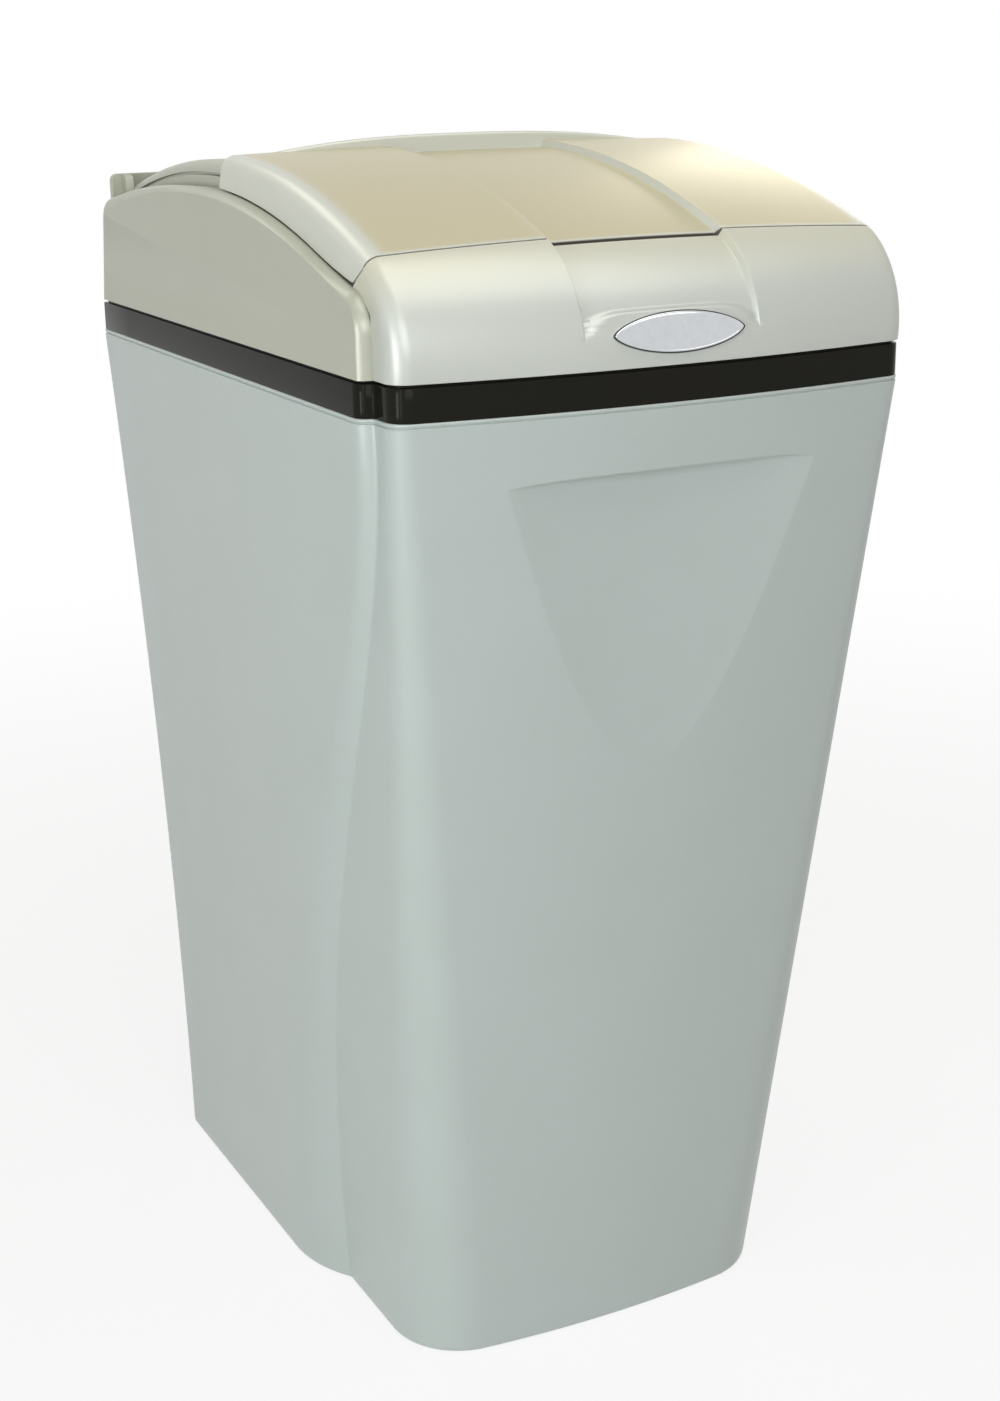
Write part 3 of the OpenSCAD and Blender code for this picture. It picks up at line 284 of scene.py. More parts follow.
# outline of a panel in Y and Z: rear edge, round corner, climbing arc, round corner, front edge
def panelOutline(radius, rearY, rearR, frontY, frontR, lean):
    ra = 0.29
    for _ in range(6):
        ra = math.asin((rearY - rearR - slide["y"]) / (radius(ra) - rearR))
    ry, rz = rearY - rearR, slide["z"] + (radius(ra) - rearR) * math.cos(ra)
    spot = lambda a: (slide["y"] + radius(a) * math.sin(a), slide["z"] + radius(a) * math.cos(a))
    fa = -math.radians(20)
    for _ in range(40):  # angle at which the arc hands over to the front corner
        (y0, z0), (y1, z1) = spot(fa), spot(fa - 1e-4)
        heading = math.atan2(z0 - z1, y0 - y1)
        fa -= 0.4 * (y0 - frontY - frontR * (1 - math.sin(heading))) / radius(fa)
    y0, z0 = spot(fa)
    cy, cz = frontY + frontR, z0 - frontR * math.cos(heading)
    line = [(rearY + lean * (rz - z) / (rz - bandZ), z) for z in spread(bandZ, rz, 6)[:-1]]
    line += [(ry + rearR * math.sin(t), rz + rearR * math.cos(t)) for t in spread(math.pi / 2, ra, 9)]
    line += [spot(a) for a in spread(ra, fa, 72)[1:-1]]
    line += [(cy - frontR * math.sin(t), cz + frontR * math.cos(t)) for t in spread(heading, math.pi / 2, 24)]
    return line + [(frontY, z) for z in spread(cz, bandZ, 7)[1:]]


def sidePanel():
    c, (flatLean, beadLean) = cover, cover["rearLean"]
    flat = panelOutline(flatRadius, c["flatRear"], c["flatRearR"], c["flatFront"], c["flatFrontR"], flatLean)
    outlines = []
    footRadius = lambda a: ledgeRadius(a) - c["ledgeDeep"]
    for radius, inset in ((beadRadius, 0), (ledgeRadius, c["ledgeLow"]), (footRadius, c["footInset"])):
        rearY, frontY = c["beadRear"] - inset, c["valley"] + inset
        outlines.append(panelOutline(radius, rearY, c["rearR"], frontY, c["valleyR"], beadLean))
    bead, ledgeLine, foot = outlines
    xs, ledge = [], []
    for y, z in bead:
        a = math.atan2(y - slide["y"], z - slide["z"])
        corner = y < c["cornerY"]
        xs.append(mix(c["valleyX"], beadX(a), ease((z - c["valleyTop"]) / c["valleyFade"]) if corner else 1.0))
        ledge.append(1 + (c["ledge"] - 1) * (ease((y - c["ledgeFrom"]) / c["ledgeFade"]) if corner else 1.0))
    rows = [[(c["footIn"], y, z) for y, z in foot]]
    rows += [[(x - w, y, z) for (y, z), x, w in zip(line, xs, ledge)] for line in (foot, ledgeLine)]
    rows.append([(x, y, z) for (y, z), x in zip(ledgeLine, xs)])
    start = math.radians(c["beadBreak"])
    for t in spread(math.pi / 2, start, 14):  # part of an ellipse, from the bead's inner line to a break at the flat
        up, over = (math.sin(t) - math.sin(start)) / (1 - math.sin(start)), 1 - math.cos(t) / math.cos(start)
        pairs = zip(flat, bead, xs)
        rows.append([(mix(c["panelOut"], x, over), mix(f[0], b[0], up), mix(f[1], b[1], up)) for f, b, x in pairs])
    return tubeOf(rows)


def railSection():
    c, r = cover, cover["railEdge"]
    turn = math.asin((c["slot"][1] - c["railR"] + r) / r)
    foot, deep = c["webR"] - 1, c["railOut"] - c["slotDeep"]
    line = [(foot, c["railIn"]), (c["railR"], c["railIn"])]
    for t in spread(math.pi / 2, turn, 9):
        line.append((c["railR"] - r * (1 - math.sin(t)), c["railOut"] - r * (1 - math.cos(t))))
    line += [(c["slot"][1], deep), (c["slot"][0], deep)]
    return line + [(c["slot"][0], c["railOut"]), (foot, c["railOut"])]


def rearWall():
    c, r = cover, cover["wallRound"]
    outline = [(-c["wallHalf"], bandZ)]
    for t in spread(0, math.pi / 2, 8):
        outline.append((-c["wallHalf"] + r - r * math.cos(t), c["wallTop"] - r + r * math.sin(t)))
    outline += [(-x, z) for x, z in outline[::-1]]
    port = c["portHalf"]
    outline += [(port, bandZ), (port, c["portTop"]), (-port, c["portTop"]), (-port, bandZ)]
    return tubeOf([[(x, y, z) for x, z in outline] for y in (c["rear"] - c["wallThick"], c["rear"])])


# a flat strip round the slide axis, from one x to another
def strip(radius, thick, x0, x1):
    return [(radius - thick, x0), (radius, x0), (radius, x1), (radius - thick, x1)]


def coverParts():
    c = cover
    front, end = -seam + math.radians(c["railFrontGap"]), math.radians(c["railEnd"])
    back = math.asin((c["rear"] - c["wallThick"] / 2 - slide["y"]) / c["webR"])
    web = strip(c["webR"], c["webThick"], c["railIn"], c["panelIn"])
    deck = strip(c["deckR"], c["deckThick"], -c["deckHalf"], c["deckHalf"])
    parts = []
    for part in (sidePanel(), slideSweep(railSection(), front, end, 48), slideSweep(web, front, back, 30)):
        parts += [part, mirrored(part)]
    parts.append(slideSweep(deck, front, -math.radians(c["deckFront"]), 8))
    parts += [slideSweep(deck, -math.radians(c["deckRear"]), end, 24), rearWall()]
    for s in (-1, 1):  # posts between the rails' ends and the rear wall
        parts.append(tubeOf([[(s * x, y, z) for y, z in c["post"]] for x in c["postX"]]))
    for s in (-1, 1):  # blocks that join the rear wall to the panels
        x0, x1, top = s * c["portHalf"], s * c["blockHalf"], c["blockTop"]
        block = [(x0, bandZ), (x1, bandZ), (x1, top), (x0, top)]
        parts.append(tubeOf([[(x, y, z) for x, z in block] for y in c["blockY"]]))
    return parts


coverFrame = makePiece("coverFrame", coverParts(), sharp=32, softEdge=0.9)
fit(coverFrame, rootBody, "cover_plastic", "cover_frame")
print("cover frame:", len(coverFrame.data.vertices), "points")

# section shared by the cowl and the lid: a flat channel between two lands
channel = {"half": 70, "edge": 1.2, "deep": 5.5, "lidHalf": 205, "crown": (6.3, 3.5), "skin": 3.5}


def channelRamp(x):
    return min(1, max(0, (channel["half"] + channel["edge"] - abs(x)) / (2 * channel["edge"])))


def stationsTo(edge):
    outer, inner = channel["half"] + channel["edge"], channel["half"] - channel["edge"]
    half = spread(0, inner, 13)[:-1] + spread(inner, outer, 9)[:-1] + spread(outer, edge, 22)
    return [-x for x in half[:0:-1]] + half


# front cowl: rolled up from the band to the seam, with a round-topped pad for the badge
cowl = {
    "half": (209, 208.8), "corner": (17, 12), "draft": (0, 10), "inner": 30, "rows": 110, "lift": 2.8,
    "padTop": (0.355, 0.2), "padFade": 0.045, "wing": 8.7, "wingFrom": 0.7,
    "footX": (209, 209.2, 209.5), "footTurn": 0.68, "footFront": 42.4, "footRho": (61, 62.4), "footLow": (1.5, 1.2),
}


# bow of the cowl across its width: the band's at the foot and the lid's at the seam
def cowlBend(s):
    return mix(cabinet["bow"][1], channel["crown"][0] / channel["lidHalf"] ** 2, s)


def cowlRadius(x, s, t):
    padTop = mix(*cowl["padTop"], min(1, abs(x / channel["half"]) ** 8))
    off = ease((s - padTop) / cowl["padFade"])
    top = roll["r"] + cowl["lift"] * ease(s) - t - cowlBend(s) * x * x
    return top - channel["deep"] * channelRamp(x) * off * mix(0.5, 1, s)


# where the side wall goes out of sight behind the panel's bead
def cowlFoot(s):
    turn, low = cowl["footTurn"], cowl["footLow"]
    if s < turn:
        return mix(*cowl["footX"][:2], s / turn), cowl["footFront"] / math.cos(s * (math.pi / 2 - seam)) - low[0]
    share = (s - turn) / (1 - turn)
    return mix(*cowl["footX"][1:], share), mix(*cowl["footRho"], share) - low[1]


def cowlSection(s, t):
    b, r, lean = mix(*cowl["half"], s) - t, mix(*cowl["corner"], s) - t, math.radians(mix(*cowl["draft"], s))
    edge = b - r
    for _ in range(3):  # the corner starts where the top's slope has turned
        top = math.pi / 2 - math.atan(2 * edge * cowlBend(s))
        edge = b - r + r * math.cos(top)
    centre = cowlRadius(edge, s, t) - r * math.sin(top)
    corner = [(b - r + r * math.cos(a), centre + r * math.sin(a)) for a in spread(lean, top, 14)]
    foot = cowlFoot(s)
    foot = (foot[0] - t, foot[1])
    side = [(min(foot[0], 205) - t, cowl["inner"], 1), (foot[0] - 3, foot[1] - 3, 1)]
    for k in spread(0, 1, 6)[:-1]:  # the third value says how low down the side a point is
        side.append((mix(foot[0], corner[0][0], k), mix(foot[1], corner[0][1], k), 1 - k))
    right = side + [(x, rho, 0) for x, rho in corner[:-1]]
    across = [(x, cowlRadius(x, s, t), 0) for x in stationsTo(edge)]
    return [(-x, rho, low) for x, rho, low in right] + across + right[::-1]


def cowlRow(s, t):
    row = []
    for x, rho, low in cowlSection(s, t):  # low down, the sides run on behind the seam's plane as small wings
        phi = s * (math.pi / 2 - seam)
        phi += math.radians(cowl["wing"]) * low * ease((s - cowl["wingFrom"]) / (1 - cowl["wingFrom"]))
        row.append((x, roll["y"] - rho * math.cos(phi), bandZ + rho * math.sin(phi)))
    return row


def cowlShell():
    outer = [cowlRow(s, 0) for s in spread(0, 1, cowl["rows"])]
    inner = [cowlRow(s, channel["skin"]) for s in spread(1, 0, cowl["rows"])]
    points, quads = weave(outer + inner, along=True)
    n, m = len(outer[0]), cowl["rows"]
    for j in range(m - 1):  # feet of the side walls
        k = 2 * m - 1 - j
        quads.append((j * n, (j + 1) * n, (k - 1) * n, k * n))
        quads.append((j * n + n - 1, (j + 1) * n + n - 1, (k - 1) * n + n - 1, k * n + n - 1))
    return points, quads


# a deep edge behind each side of the seam; its faces take painted shade, so that the seam reads as a dark line
def seamFlange(rowAt, near, far):
    top, foot, sideColumns = 0.7, 7, 9
    corners = [rowAt(near, top), rowAt(far, top), rowAt(far, foot), rowAt(near, foot)]
    return tubeOf([list(ring) for ring in zip(*corners)][sideColumns:-sideColumns])


cowlSeam = seamFlange(cowlRow, 1.0015, 0.97)
frontCowl = makePiece("frontCowl", [cowlShell(), cowlSeam], sharp=32, softEdge=0.25, edgeAngle=60)
fit(frontCowl, rootBody, "cover_plastic", "front_cowl")
print("cowl:", len(frontCowl.data.vertices), "points")

# salt lid: its own crown, cut by the seam plane in front and a plane behind, with a pull lip
lid = {
    "front": -seam, "rear": -math.radians(2.3), "frontGap": 1.9, "fingerGap": 3.4, "rows": 64, "lift": (2.8, -2.9),
    "corner": 12, "side": (208.8, 204.5), "footGap": 1.0, "draft": 10, "slant": 0.7,
    "lipHalf": 166, "lipRise": 4.7, "lipFall": 10.5, "lipThick": 7, "lipRound": 2.6,
}


def lidDrop(x, share):
    return mix(*channel["crown"], share) * (x / channel["lidHalf"]) ** 2 + channel["deep"] * channelRamp(x)


# radius of the lid's top about the slide axis
def lidTop(a, share):
    dy, dz = crown["y"] - slide["y"], crown["z"] - slide["z"]
    along = dy * math.sin(a) + dz * math.cos(a)
    return along + math.sqrt(along * along - dy * dy - dz * dz + crown["r"] ** 2) + mix(*lid["lift"], share)


def lidRow(f, t):
    gap = lid["frontGap"] / slide["r"]
    a = mix(lid["front"] + gap, lid["rear"], f)
    share = (a - lid["front"]) / (lid["rear"] - lid["front"])
    b, r, lean = mix(*lid["side"], share) - t, lid["corner"] - t, math.radians(lid["draft"])
    edge = b - r
    for _ in range(3):
        top = math.pi / 2 - math.atan(2 * edge * mix(*channel["crown"], share) / channel["lidHalf"] ** 2)
        edge = b - r + r * math.cos(top)
    centre = lidTop(a, share) - t - lidDrop(edge, share) - r * math.sin(top)
    corner = [(b - r + r * math.cos(k), centre + r * math.sin(k)) for k in spread(lean, top, 16)]
    foot = (beadX(a) - 0.2 - t, beadRadius(a) + lid["footGap"])
    right = []
    for k in spread(0, 1, 8)[:-1]:
        right.append((mix(foot[0], corner[0][0], k), mix(foot[1], corner[0][1], k), 1 - k))
    right += [(x, radius, 0) for x, radius in corner[:-1]]
    across = [(x, lidTop(a, share) - t - lidDrop(x, share), 0) for x in stationsTo(edge)]
    row = []
    for x, radius, low in [(-x, radius, low) for x, radius, low in right] + across + right[::-1]:
        back = lid["fingerGap"] / slide["r"] * channelRamp(x)  # the front edge stands back in the channel
        back += math.radians(lid["slant"]) * low  # and low on the sides, where the cowl has its wings
        row.append(onSlide(x, radius, a + back * (1 - f) ** 6))
    return row


def lidShell():
    outer = [lidRow(f, 0) for f in spread(0, 1, lid["rows"])]
    inner = [lidRow(f, channel["skin"]) for f in spread(1, 0, lid["rows"])]
    points, quads = weave(outer + inner, along=True)
    n, m = len(outer[0]), lid["rows"]
    for j in range(m - 1):
        k = 2 * m - 1 - j
        quads.append((j * n, (j + 1) * n, (k - 1) * n, k * n))
        quads.append((j * n + n - 1, (j + 1) * n + n - 1, (k - 1) * n + n - 1, k * n + n - 1))
    return points, quads


def pullLip():
    crest = crown["z"] + crown["r"]
    y1 = slide["y"] + slide["r"] * math.sin(lid["rear"])
    y0, r = y1 - lid["lipThick"], lid["lipRound"]
    rows = []
    for x in spread(-lid["lipHalf"], lid["lipHalf"], 97):
        top = crest + lid["lipRise"] - lid["lipFall"] * abs(x / lid["lipHalf"]) ** 2.6
        low = crest - 0.4 + lid["lift"][1] - lidDrop(x, 1) - channel["skin"] / 2
        k = min(r, (top - low) * 0.8)
        arc = [(y0 + k - k * math.cos(t), top - k + k * math.sin(t)) for t in spread(0, math.pi / 2, 7)]
        arc += [(y1 - k + k * math.sin(t), top - k + k * math.cos(t)) for t in spread(0, math.pi / 2, 7)]
        rows.append([(x, y, z) for y, z in [(y0, low)] + arc + [(y1, low)]])
    return tubeOf(rows)


def lidParts():
    runner = [(800.05, 179), (804, 179), (804, 184), (800.05, 184)]
    rib = slideSweep(runner, -seam + math.radians(1), lid["rear"] - math.radians(0.3), 24)
    return [lidShell(), pullLip(), rib, mirrored(rib), lidSeam]


lidSeam = seamFlange(lidRow, -0.0006, 0.012)
saltLid = makePiece("saltLid", lidParts(), sharp=32, softEdge=0.25, edgeAngle=60)
fit(saltLid, "lid", "lid_plastic", "salt_lid")
print("lid:", len(saltLid.data.vertices), "points")

# badge: a bare pointed oval with a rim painted with a dark reflection, a raised border and a low dome
badge = {
    "half": (53.5, 14.8), "point": 1.35, "offset": 3.5, "angle": math.radians(14.4), "steps": 128,
    "rings": (
        (0, -2.6), (0, 0.9), (0.25, 1.2), (0.95, 1.3), (1.05, 1.55), (1.4, 1.75), (1.9, 1.75), (2.15, 1.6), (2.4, 1.7),
    ),
    "dome": 1.1, "reflectionRings": (1, 2),
}


def badgePoint(t, inset, high, shrink=1.0):
    c, s = math.cos(t), math.sin(t)
    u = (badge["half"][0] - inset * 1.6) * c * shrink
    v = (badge["half"][1] - inset) * math.copysign(abs(s) ** badge["point"], s) * shrink
    ca, sa = math.cos(badge["angle"]), math.sin(badge["angle"])
    out = roll["r"] + high
    return (u + badge["offset"], roll["y"] - out * ca + v * sa, bandZ + out * sa + v * ca)


def badgeRows():
    turns = [2 * math.pi * i / badge["steps"] for i in range(badge["steps"])]
    rows = [[badgePoint(t, inset, high) for t in turns] for inset, high in badge["rings"]]
    inset, high = badge["rings"][-1]
    for k in spread(1, 0.06, 12)[1:]:
        rows.append([badgePoint(t, inset, high + badge["dome"] * math.sqrt(1 - k * k), k) for t in turns])
    return rows


ovalBadge = makePiece("ovalBadge", [tubeOf(badgeRows())], sharp=50)
fit(ovalBadge, rootBody, "chrome", "badge")
print("badge:", len(ovalBadge.data.vertices), "points")


# materials
def linear(code):
    channels = [int(code[i:i + 2], 16) / 255 for i in (1, 3, 5)]
    return tuple(c / 12.92 if c <= 0.04045 else ((c + 0.055) / 1.055) ** 2.4 for c in channels) + (1.0,)


def addNode(tree, kind, values=None, links=None, **settings):
    node = tree.nodes.new(kind)
    for key, value in settings.items():
        setattr(node, key, value)
    for key, value in (values or {}).items():
        node.inputs[key].default_value = value
    for key, socket in (links or {}).items():
        tree.links.new(socket, node.inputs[key])
    return node


def newMaterial(name):
    material = bpy.data.materials.new(name)
    material.use_nodes = True
    tree = material.node_tree
    tree.nodes.clear()
    coords = addNode(tree, "ShaderNodeTexCoord").outputs["Object"]
    shader = addNode(tree, "ShaderNodeBsdfPrincipled")
    addNode(tree, "ShaderNodeOutputMaterial", links={"Surface": shader.outputs["BSDF"]})
    return material, tree, coords, shader


def perMm(size):
    return 1000 / size  # noise cells per metre for a grain of that many mm


# what all the materials share: a tone between two colours, and gloss and relief from one pattern
def dress(tree, shader, colours, share, pattern, gloss, relief, warmLightTint=None):
    ends = {"A": linear(colours[0]), "B": linear(colours[1])}
    tone = addNode(tree, "ShaderNodeMix", ends, {"Factor": share}, data_type="RGBA").outputs["Result"]
    if warmLightTint:  # painted warm light: faces lit from above take a warmer tone
        warmLightMask = addNode(tree, "ShaderNodeAttribute", attribute_name="paintedWarmLight").outputs["Fac"]
        warmLitTone = addNode(tree, "ShaderNodeMix", {"B": linear(warmLightTint)}, {"Factor": warmLightMask, "A": tone}, data_type="RGBA")
        tone = warmLitTone.outputs["Result"]
    rough = addNode(tree, "ShaderNodeMapRange", {"To Min": gloss[0], "To Max": gloss[1]}, {"Value": pattern})
    bump = addNode(tree, "ShaderNodeBump", {"Strength": relief[0], "Distance": relief[1]}, {"Height": pattern})
    sources = {"Base Color": tone, "Roughness": rough.outputs["Result"], "Normal": bump.outputs["Normal"]}
    for socket, source in sources.items():
        tree.links.new(source, shader.inputs[socket])


# moulded plastic: a slow drift of tone, a fine grain in the gloss and a slight orange peel
def mouldedPlastic(name, colour, shade, roughness=0.42, grain=1.6, bump=0.08, specular=0.4, warmLightTint=None, pearl=0.0):
    material, tree, coords, shader = newMaterial(name)
    drift = addNode(tree, "ShaderNodeTexNoise", {"Scale": perMm(90), "Detail": 2.0}, {"Vector": coords}).outputs["Fac"]
    fine = addNode(tree, "ShaderNodeTexNoise", {"Scale": perMm(grain), "Detail": 3.0}, {"Vector": coords}).outputs["Fac"]
    dress(tree, shader, (colour, shade), drift, fine, (roughness - 0.03, roughness + 0.03), (bump, 0.0002), warmLightTint)
    shader.inputs["IOR"].default_value = 1.5
    shader.inputs["Metallic"].default_value = pearl  # mica in the plastic: a broad satin shine
    shader.inputs["Specular IOR Level"].default_value = specular
    return material


# metal: a drawn or plated surface with a directionless haze and tiny scratches in the gloss
def platedMetal(name, colour, shade, roughness, grain=3.0, bump=0.05):
    material, tree, coords, shader = newMaterial(name)
    haze = addNode(tree, "ShaderNodeTexNoise", {"Scale": perMm(grain), "Detail": 4.0}, {"Vector": coords}).outputs["Fac"]
    dress(tree, shader, (colour, shade), haze, haze, (roughness * 0.8, roughness * 1.3), (bump, 0.0002))
    shader.inputs["Metallic"].default_value = 1.0
    return material


# wound tank: crossing bands of glass fibre under a coat of resin
def woundFibre(name, colour, shade):
    material, tree, coords, shader = newMaterial(name)
    values = {"Scale": perMm(40), "Distortion": 3.0, "Detail": 2.0}
    wave = addNode(tree, "ShaderNodeTexWave", values, {"Vector": coords}, bands_direction="DIAGONAL").outputs["Fac"]
    dress(tree, shader, (colour, shade), wave, wave, (0.3, 0.5), (0.25, 0.0006))
    return material


# bead bed and foam: small cells, each with its own tone
def cellSolid(name, colour, shade, size, roughness):
    material, tree, coords, shader = newMaterial(name)
    cells = addNode(tree, "ShaderNodeTexVoronoi", {"Scale": perMm(size)}, {"Vector": coords}).outputs
    dress(tree, shader, (colour, shade), cells["Color"], cells["Distance"], (roughness, roughness + 0.2), (0.4, 0.0005))
    return material


finishes = {
    "cabinet_plastic": mouldedPlastic("satinCabinetPlastic", "#BAC2BF", "#B6BEBA", 0.36, 2.2, 0.03, pearl=0.14),
    # the band's slight olive-brown tint is a painted reflection of brown surroundings
    "smoke_band": mouldedPlastic("glossSmokePlastic", "#1B1C18", "#22201A", 0.1, 3.0, 0.02, 0.05),
    "cover_plastic": mouldedPlastic("satinCoverPlastic", "#B3B4A5", "#AFB0A1", 0.36, 2.2, 0.03, pearl=0.2),
    # the lid's pale plastic, with painted warm light (#C5BC9A) on its upward faces
    "lid_plastic": mouldedPlastic("semiGlossLidPlasticPaintedWarmLight", "#D2D3C8", "#CECFC4", 0.34, 2.2, 0.03, 0.4, "#C5BC9A", 0.15),
    "chrome": platedMetal("polishedChrome", "#D2D4D6", "#C4C7CA", 0.1, 6.0, 0.02),
    "grid_plastic": mouldedPlastic("mouldedGridPlastic", "#8F9693", "#878E8B", 0.5),
    "white_tube": mouldedPlastic("extrudedWhiteTube", "#E8E8E2", "#DEDED7", 0.38),
    "black_plastic": mouldedPlastic("mouldedBlackPlastic", "#2D2F2E", "#353736", 0.46),
    "dark_fitting": mouldedPlastic("mouldedDarkFitting", "#3A3D3C", "#434645", 0.48),
    "white_fitting": mouldedPlastic("mouldedWhiteFitting", "#F0F0EA", "#E6E6DF", 0.42),
    "float_foam": cellSolid("closedCellFoam", "#F2EFE4", "#E6E2D4", 2.5, 0.6),
    "check_ball_plastic": mouldedPlastic("smoothBallPlastic", "#D9D2B4", "#D2CAAA", 0.25),
    "clear_tube": mouldedPlastic("milkyTube", "#ECEAE0", "#E2E0D4", 0.22),
    "wound_tank": woundFibre("woundFibreTank", "#31557A", "#3C648C"),
    "resin_beads": cellSolid("resinBeads", "#A8742C", "#8C5C20", 2.0, 0.3),
    "seal_rubber": mouldedPlastic("mattSealRubber", "#26282A", "#2E3032", 0.75, 1.2, 0.2, 0.3),
    "piston_plastic": mouldedPlastic("turnedPistonPlastic", "#C9C4B2", "#C0BAA6", 0.35),
    "zinc_screw": platedMetal("zincPlate", "#A9ADB0", "#9A9EA2", 0.32),
    "gear_nylon": mouldedPlastic("gearNylon", "#E6E2D2", "#DCD7C4", 0.45),
    "pinion_brass": platedMetal("turnedBrass", "#C9A94C", "#BA993E", 0.28),
    "motor_can": platedMetal("drawnSteelCan", "#9A9EA0", "#8C9092", 0.34),
    "case_plastic": mouldedPlastic("texturedCasePlastic", "#4A4E50", "#525658", 0.52, 1.4, 0.3),
    "board": mouldedPlastic("solderMask", "#2E6B3E", "#286038", 0.35),
    "display": mouldedPlastic("glossDisplay", "#20282A", "#262F31", 0.12, 3.0, 0.02, 0.5),
    "button_plastic": mouldedPlastic("satinButtonPlastic", "#C8CAC8", "#BEC0BE", 0.44),
    "turbine_plastic": mouldedPlastic("blueTurbinePlastic", "#2F6FB0", "#2A649F", 0.4),
    "red_plastic": mouldedPlastic("redKnobPlastic", "#C94B32", "#BC442C", 0.42),
    "tail_plastic": mouldedPlastic("mouldedTailPlastic", "#D8D6CC", "#CECBC0", 0.44),
}
paintedDarkReflection = mouldedPlastic("paintedRimReflection", "#232423", "#2B2C2B", 0.4)
# the cowl: the cover's plastic painted paler for the light its curved face catches, with painted warm light towards the
# lid
cowlPaintedLightPlastic = mouldedPlastic("satinCowlPlasticPaintedLight", "#C4C7C1", "#C0C3BC", 0.36, 2.2, 0.03, 0.4, "#D4CEB0", 0.2)
seamShade = mouldedPlastic("paintedSeamShade", "#6E675D", "#655E55", 0.6)  # the edges inside the seam, painted dark as shade


def paint(obj, *materials):
    obj.data.materials.clear()
    for material in materials:
        obj.data.materials.append(material)


# share of the painted warm light at each point: the lid's upward faces, fading down the cowl
def paintWarmLight(obj, shareAt):
    mesh = obj.data
    place, up = np.zeros(len(mesh.vertices) * 3, np.float32), np.zeros(len(mesh.vertices) * 3, np.float32)
    mesh.vertices.foreach_get("co", place)
    mesh.vertices.foreach_get("normal", up)
    rows = zip(place.reshape(-1, 3) * 1000, up.reshape(-1, 3))
    share = [shareAt(c[0], c[1] - rowShift, c[2], n) for c, n in rows]
    mesh.attributes.new("paintedWarmLight", "FLOAT", "POINT").data.foreach_set("value", np.array(share, np.float32))


def lidPaintedWarmLight(x, y, z, n):
    share = (y + 247) / 275
    edge = mix(*lid["side"], share) - lid["corner"] - 3
    return ease((edge - abs(x)) / 9 + 0.5) * ease((n[2] - 0.7) / 0.15) * (1 if y < 20 else 0)


def cowlPaintedWarmLight(x, y, z, n):
    return 0.5 * ease((math.atan2(z - bandZ, roll["y"] - y) / (math.pi / 2 - seam) - 0.4) / 0.6)


# painted warm light on the lid's top and on the cowl's upper part
paintWarmLight(saltLid, lidPaintedWarmLight)
paintWarmLight(frontCowl, cowlPaintedWarmLight)
for row in frame["record"]["subparts"]:
    paint(frame["nodes"][row["node"]], finishes[row["material_slot"]])
for piece in (cabinetShell, trimBand, coverFrame):
    paint(piece, finishes[piece["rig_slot"]])
paint(frontCowl, cowlPaintedLightPlastic, seamShade)
paint(saltLid, finishes["lid_plastic"], seamShade)
# the seam's deep faces take the painted shade
for piece, edge in ((frontCowl, cowlSeam), (saltLid, lidSeam)):
    for face in piece.data.polygons[-len(edge[1]):]:
        face.material_index = 1
paint(ovalBadge, finishes["chrome"], paintedDarkReflection)
# rings on the chrome's rounded rim carry a painted dark reflection
for face in ovalBadge.data.polygons:
    if face.index // badge["steps"] in badge["reflectionRings"]:
        face.material_index = 1
print("materials:", len(bpy.data.materials))

# floor, light and camera
studio = {
    "ambient": 0.07, "mirrored": 1.0, "floor": "#F2F2F0", "floorGlow": (0.84, 1.0), "floorFade": (0.7, 2.6),
    "camera": (-0.79395, -1.59623, 1.03265), "lens": 55.48, "sensor": 36,
    "right": (0.8881, -0.4595, -0.014), "ahead": (0.4353, 0.8503, -0.2957), "target": (0, 0, 0.55), "floorHalf": 9,
    "lamps": (
        ("frontSoft", (-0.9, -3.2, 2.0), 2.0, 1.6, 40, (1, 1, 1)),
        ("leftTall", (-2.6, -2.1, 1.0), 0.6, 2.4, 18, (0.75, 0.9, 1)),
        ("leftFar", (-3.1, -1.3, 0.7), 0.7, 1.6, 36, (1, 1, 0.96)),
        ("topSoft", (0.3, -0.8, 3.4), 2.4, 2.4, 42, (1, 1, 0.96)),
        ("rightRear", (2.2, 2.2, 1.95), 0.9, 0.9, 9, (1, 0.94, 0.78)),
        ("leftRear", (-0.9, 2.2, 3.2), 1.6, 1.0, 12, (1, 0.98, 0.85)),
    ),
}

floorMesh = bpy.data.meshes.new("floor")
half = studio["floorHalf"]
floorMesh.from_pydata([(-half, -half, 0), (half, -half, 0), (half, half, 0), (-half, half, 0)], [], [(0, 1, 2, 3)])
floor = bpy.data.objects.new("floor", floorMesh)
scene.collection.objects.link(floor)
paper = bpy.data.materials.new("paleFloorPaper")
paper.use_nodes = True
tree = paper.node_tree
tree.nodes.clear()
rays = addNode(tree, "ShaderNodeLightPath").outputs
seen = addNode(tree, "ShaderNodeMath", links={0: rays["Is Camera Ray"], 1: rays["Is Glossy Ray"]}, operation="MAXIMUM")
where = addNode(tree, "ShaderNodeTexCoord").outputs["Object"]
away = addNode(tree, "ShaderNodeVectorMath", links={0: where}, operation="LENGTH").outputs["Value"]
(near, far), (dull, bright) = studio["floorFade"], studio["floorGlow"]
fade = {"From Min": near, "From Max": far, "To Min": dull, "To Max": bright}
lit = addNode(tree, "ShaderNodeMapRange", fade, {"Value": away}, interpolation_type="SMOOTHSTEP").outputs["Result"]
share = addNode(tree, "ShaderNodeMath", links={0: seen.outputs["Value"], 1: lit}, operation="MULTIPLY").outputs["Value"]
matt = addNode(tree, "ShaderNodeBsdfDiffuse", {"Color": linear(studio["floor"])}).outputs["BSDF"]
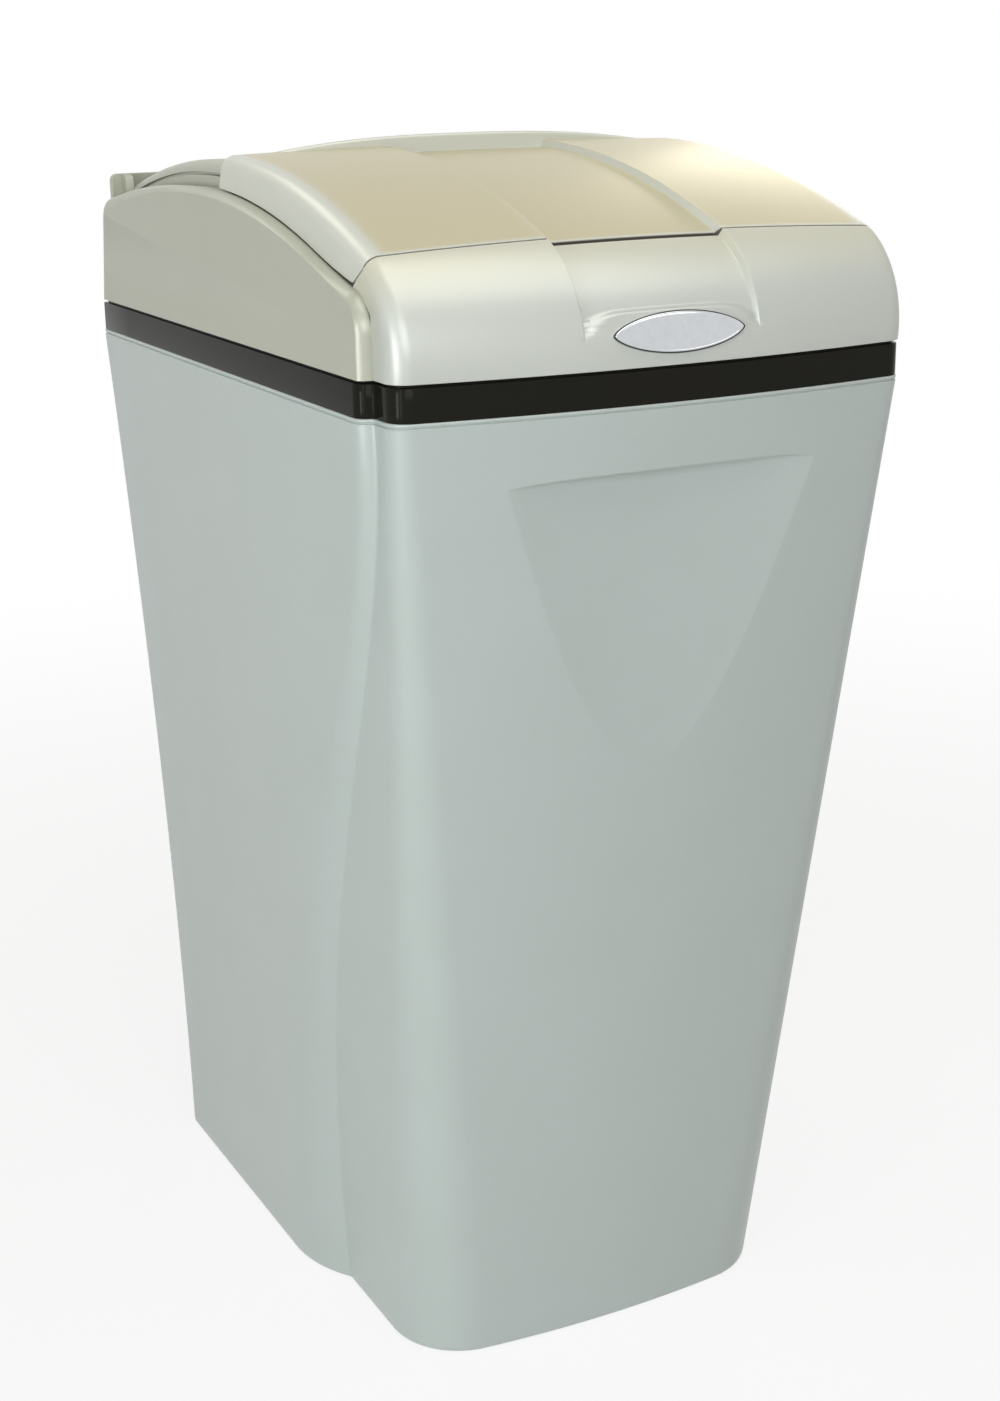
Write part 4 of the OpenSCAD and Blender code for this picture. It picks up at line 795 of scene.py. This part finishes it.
glow = addNode(tree, "ShaderNodeEmission", {"Color": (1, 1, 1, 1), "Strength": 1.0}).outputs["Emission"]
both = addNode(tree, "ShaderNodeMixShader", links={"Fac": share, 1: matt, 2: glow})
addNode(tree, "ShaderNodeOutputMaterial", links={"Surface": both.outputs["Shader"]})
floorMesh.materials.append(paper)

world = bpy.data.worlds.new("studio")
scene.world = world
world.use_nodes = True
tree = world.node_tree
tree.nodes.clear()
rays = addNode(tree, "ShaderNodeLightPath").outputs  # white to the camera and in reflections, dim as a source of light
dim = addNode(tree, "ShaderNodeMath", {1: studio["mirrored"]}, {0: rays["Is Glossy Ray"]}, operation="MULTIPLY")
shown = {0: rays["Is Camera Ray"], 1: dim.outputs["Value"]}
direct = addNode(tree, "ShaderNodeMath", links=shown, operation="MAXIMUM").outputs["Value"]
level = addNode(tree, "ShaderNodeMath", {1: studio["ambient"]}, {0: direct}, operation="MAXIMUM").outputs["Value"]
sky = addNode(tree, "ShaderNodeBackground", {"Color": (1, 1, 1, 1)}, {"Strength": level})
addNode(tree, "ShaderNodeOutputWorld", links={"Surface": sky.outputs["Background"]})

for name, place, wide, high, power, tint in studio["lamps"]:
    lamp = bpy.data.lights.new(name, "AREA")
    lamp.shape, lamp.size, lamp.size_y, lamp.energy, lamp.color = "RECTANGLE", wide, high, power, tint
    holder = bpy.data.objects.new(name, lamp)
    holder.location = place
    holder.rotation_mode = "QUATERNION"
    holder.rotation_quaternion = (Vector(studio["target"]) - Vector(place)).to_track_quat("-Z", "Y")
    scene.collection.objects.link(holder)

lens = bpy.data.cameras.new("camera")
lens.lens, lens.sensor_width, lens.clip_end = studio["lens"], studio["sensor"], 60
camera = bpy.data.objects.new("camera", lens)
ahead = Vector(studio["ahead"]).normalized()
right = (Vector(studio["right"]) - ahead * ahead.dot(Vector(studio["right"]))).normalized()
up = right.cross(ahead)
camera.matrix_world = Matrix((right, up, -ahead)).transposed().to_4x4()
camera.location = studio["camera"]
scene.collection.objects.link(camera)
scene.camera = camera
print("studio: floor,", len(studio["lamps"]), "lamps and camera")
